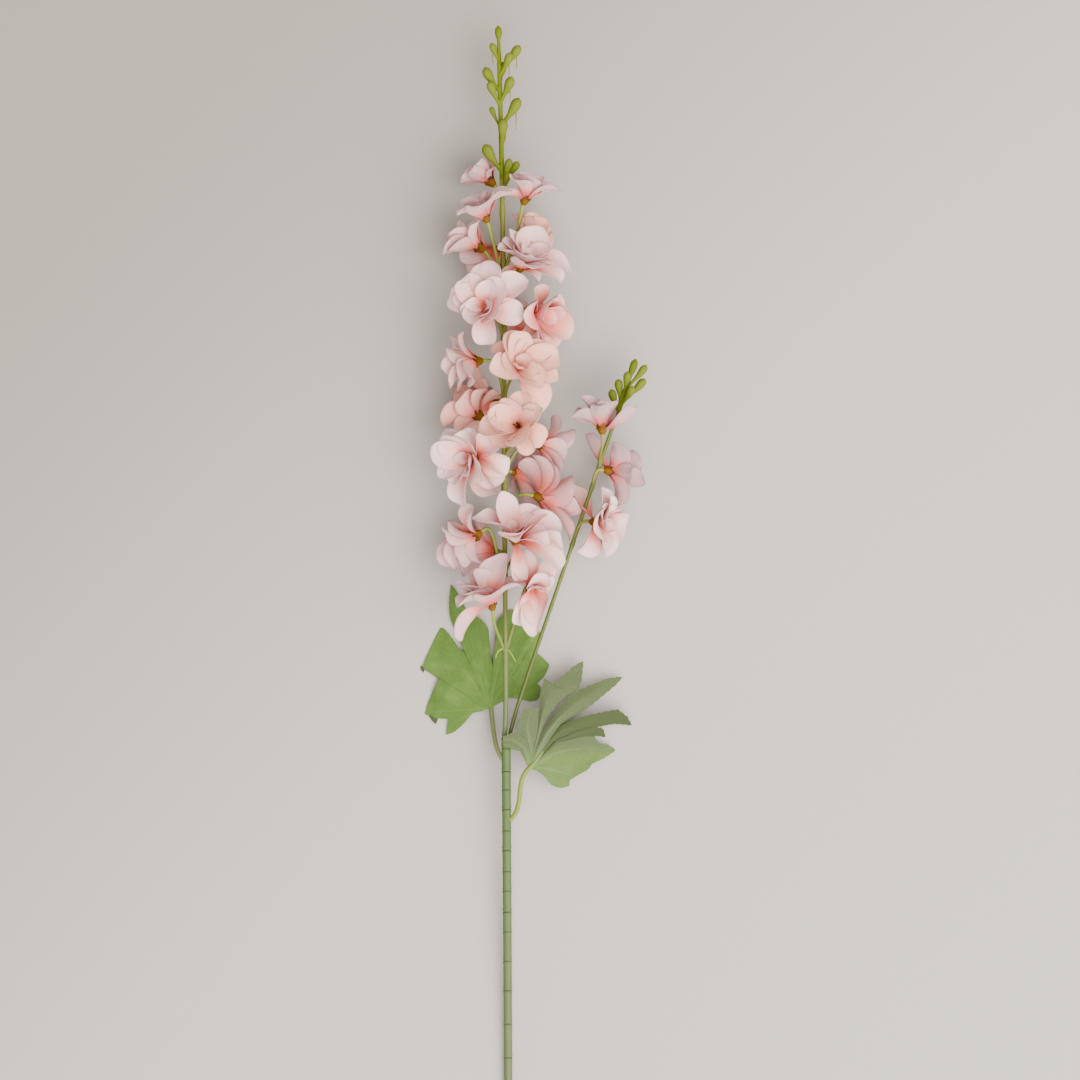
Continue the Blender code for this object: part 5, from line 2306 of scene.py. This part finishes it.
# Studio


@dataclass(frozen=True)
class SquareLight:
    """A square light that points at the spray: its place and side in metres, and power in watts."""

    name: str
    place: Triple
    side: float
    power: float
    colour: Colour
    target: Triple = (0, 0.05, 0)

    def make(self) -> None:
        """Hang the light."""
        data = bpy.data.lights.new(self.name, "AREA")
        data.shape = "SQUARE"
        data.size = self.side
        data.energy = self.power
        data.color = self.colour
        light = linked(self.name, data)
        light.location = self.place
        aim = Vector(self.target) - Vector(self.place)
        light.rotation_euler = aim.to_track_quat("-Z", "Y").to_euler()


@dataclass
class Studio:
    """A pale surface, soft lights and a camera that looks straight down."""

    middle_x: float = 3.8
    middle_y: float = 41
    subject_height: float = 30
    scale: float = 0.70
    frame_pixels: int = 1080
    lens: float = 105
    sensor: float = 36
    floor_half: float = 4
    lights: tuple[SquareLight, ...] = (
        SquareLight("top", (0.75, -0.65, 2.7), 3.0, 194.0, (1.0, 0.975, 0.95)),
        SquareLight("key", (1.3, -0.6, 1.7), 2.2, 62.0, (1.0, 0.965, 0.93)),
        SquareLight("low", (0.3, -1.8, 1.3), 1.8, 22.0, (1.0, 0.98, 0.955)),
    )
    room_colour: tuple[float, ...] = (1, 0.98, 0.96, 1)
    room_strength: float = 0.84

    def make(self) -> None:
        """Build the surface, the lights and the camera."""
        self._floor()
        for light in self.lights:
            light.make()
        world = bpy.data.worlds.new("soft_room")
        world.use_nodes = True
        background = world.node_tree.nodes["Background"]
        background.inputs["Color"].default_value = self.room_colour
        background.inputs["Strength"].default_value = self.room_strength
        bpy.context.scene.world = world
        self._camera()

    def _floor(self) -> None:
        """Add the surface."""
        bm = bmesh.new()
        bmesh.ops.create_grid(bm, x_segments=1, y_segments=1, size=self.floor_half)
        mesh = bpy.data.meshes.new("surface_below")
        bm.to_mesh(mesh)
        bm.free()
        mesh.materials.append(FloorPaint().make())
        floor = linked("surface_below", mesh)

    def _camera(self) -> None:
        """Add the camera, at the distance that gives the photograph's scale."""
        data = bpy.data.cameras.new("camera")
        data.lens = self.lens
        data.sensor_width = self.sensor
        span = self.scale * self.frame_pixels
        distance = span * self.lens / self.sensor
        camera = linked("camera", data)
        height = self.subject_height + distance
        camera.location = Vector((self.middle_x, self.middle_y, height)) * MM
        bpy.context.scene.camera = camera


# The whole spray


def stem_rods() -> list[Rod]:
    """Stems, stalks and buds.

    Returns:
        The rods that petals stay clear of.
    """
    rods = [
        Rod([MAIN_AXIS.point(y) for y in range(-130, 355, 12)], 1.75),
        Rod([SIDE_AXIS.point(y) for y in range(-120, 128, 12)], 1.35),
    ]
    rods.extend(Rod(stalk_route(bloom, 4), 1.15, bloom.name) for bloom in BLOOMS)
    for axis, buds in ((MAIN_AXIS, SPIRE_BUDS), (SIDE_AXIS, SIDE_BUDS)):
        rods.extend(Rod(bud.route(axis, 5)[2:], 0.5 * bud.width) for bud in buds)
    return rods


def petiole_pieces(plastic: Material) -> list[Petiole]:
    """The two leaf stalks; the right one runs on as a rib over its leaf.

    Args:
        plastic: Their finish.

    Returns:
        The left stalk and the right one.
    """
    left_start = MAIN_AXIS.point(-153.8) + Vector((-2.4, 0.0, -0.3))
    left_end = LEFT_LEAF_BASE + Vector((1.0, 2.0, -2.6))
    arrive = left_end + Vector((1.6, -14.0, 3.0))
    left = bezier(left_start, left_start + Vector((-6.5, 7.0, -2.0)), arrive, left_end, 24)
    right_start = MAIN_AXIS.point(-196.0) + Vector((2.4, -0.8, 0.4))
    over = RIGHT_LEAF_BASE + Vector((0.0, 0.0, 0.2))
    arrive = over + Vector((-10.0, -9.7, -1.0))
    right = bezier(right_start, right_start + Vector((11.0, 9.6, 4.0)), arrive, over, 24)
    arrive = over + Vector((9.0, 10.0, 0.2))
    rib = bezier(over, over + Vector((4.0, 4.0, 0.1)), arrive, over + Vector((15.0, 20.0, -1.4)), 12)
    right_radii = [1.7] * len(right) + [1.65 - 0.1 * step for step in range(len(rib) - 1)]
    return [
        Petiole("leaf_stalk_left", "petiole_left", plastic, left, [1.65] * len(left)),
        Petiole("leaf_stalk_right", "petiole_right", plastic, right + rib[1:], right_radii),
    ]


def build_stems() -> None:
    """Build the stems, the bud tips and the leaf stalks."""
    # stem_sage's dark groove colour darkens the scar grooves: the scars' own tone plus painted shade in the
    # recess
    sage = StemPlastic(
        "stem_sage", srgb(86, 94, 57), srgb(70, 90, 44), srgb(62, 72, 37), -400.0, -90.0, 0.6,
    ).make()
    stalk = StemPlastic(
        "stalk_olive", srgb(80, 96, 50), srgb(104, 106, 34), srgb(126, 144, 48), -90.0, 60.0, 0.5,
    ).make()
    side = StemPlastic(
        "side_olive", srgb(64, 76, 24), srgb(88, 98, 34), srgb(148, 140, 66), -90.0, 40.0, 0.5,
    ).make()
    lime = StemPlastic(
        "bud_lime", srgb(86, 98, 10), srgb(94, 106, 10), srgb(112, 120, 40), 290.0, 380.0, 0.66, 0.12,
    ).make()
    pale = StemPlastic(
        "petiole_pale", srgb(112, 126, 44), srgb(100, 108, 62), srgb(136, 142, 84), -128.0, -106.0, 0.5,
    ).make()
    LowerStem(sage).make()
    StalkedStem(
        "spike_stem", "flower_stem", stalk, MAIN_AXIS, Branch.MAIN, -138.1, 251.7, 1.75,
        knots=(-100.0, -90.0), bracts_y=-76.0, fork_offset=-1.3,
    ).make()
    StalkedStem(
        "side_stem", "side_branch", side, SIDE_AXIS, Branch.SIDE, -138.1, 78.0, 1.35,
        knots=(-112, -92, -70, -47, -26, 8, 24),
    ).make()
    wisps = ((0, 11), (1, 12), (2, 12.5), (6, 12), (7, 16), (9, 9))
    BudTip("spire_buds", "bud_spire", lime, MAIN_AXIS, SPIRE_STEM, SPIRE_BUDS, wisps).make()
    BudTip("side_buds", "side_bud_tip", lime, SIDE_AXIS, SIDE_TIP_STEM, SIDE_BUDS).make()
    for petiole in petiole_pieces(pale):
        petiole.make()


def build_leaves() -> None:
    """Build the two leaves."""
    PalmateLeaf(
        "cloth_leaf_left", "leaf_left", LeafCloth().make(), LEFT_LEAF_BASE, LEFT_LEAF_OUTLINE,
        vein_tips=(3, 5, 6, 14, 17, 27, 31, 34), tooth=0.3, folds=LEFT_LEAF_FOLDS,
    ).make()
    # its under colour is the cloth's back darkened as painted shade
    dusty = LeafCloth(
        "leaf_cloth_dusty", face=srgb(84, 108, 48), dark=srgb(72, 95, 41), pale=srgb(100, 122, 64),
        vein=srgb(132, 140, 98), under=srgb(50, 62, 22), dulling=0.85, veining=0.16, rib_width=1.6,
    ).make()
    shaper = ClothLobes(RIGHT_LEAF_BASE, 0.9)
    LobedLeaf("cloth_leaf_right", "leaf_right", dusty, shaper, RIGHT_LEAF_LOBES).make()


def build_blooms() -> None:
    """Build every bloom."""
    maker = BloomMaker(PetalCloth().make(), CupPlastic().make())
    rods = stem_rods()
    for seed, bloom in enumerate(BLOOMS):
        maker.make(bloom, seed, rods)


def main() -> None:
    """Build the dressed spray and its studio."""
    logging.basicConfig(level=logging.INFO, format="%(name)s: %(message)s")
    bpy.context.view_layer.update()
    build_stems()
    build_leaves()
    build_blooms()
    Studio().make()
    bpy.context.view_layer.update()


if __name__ == "__main__":
    main()
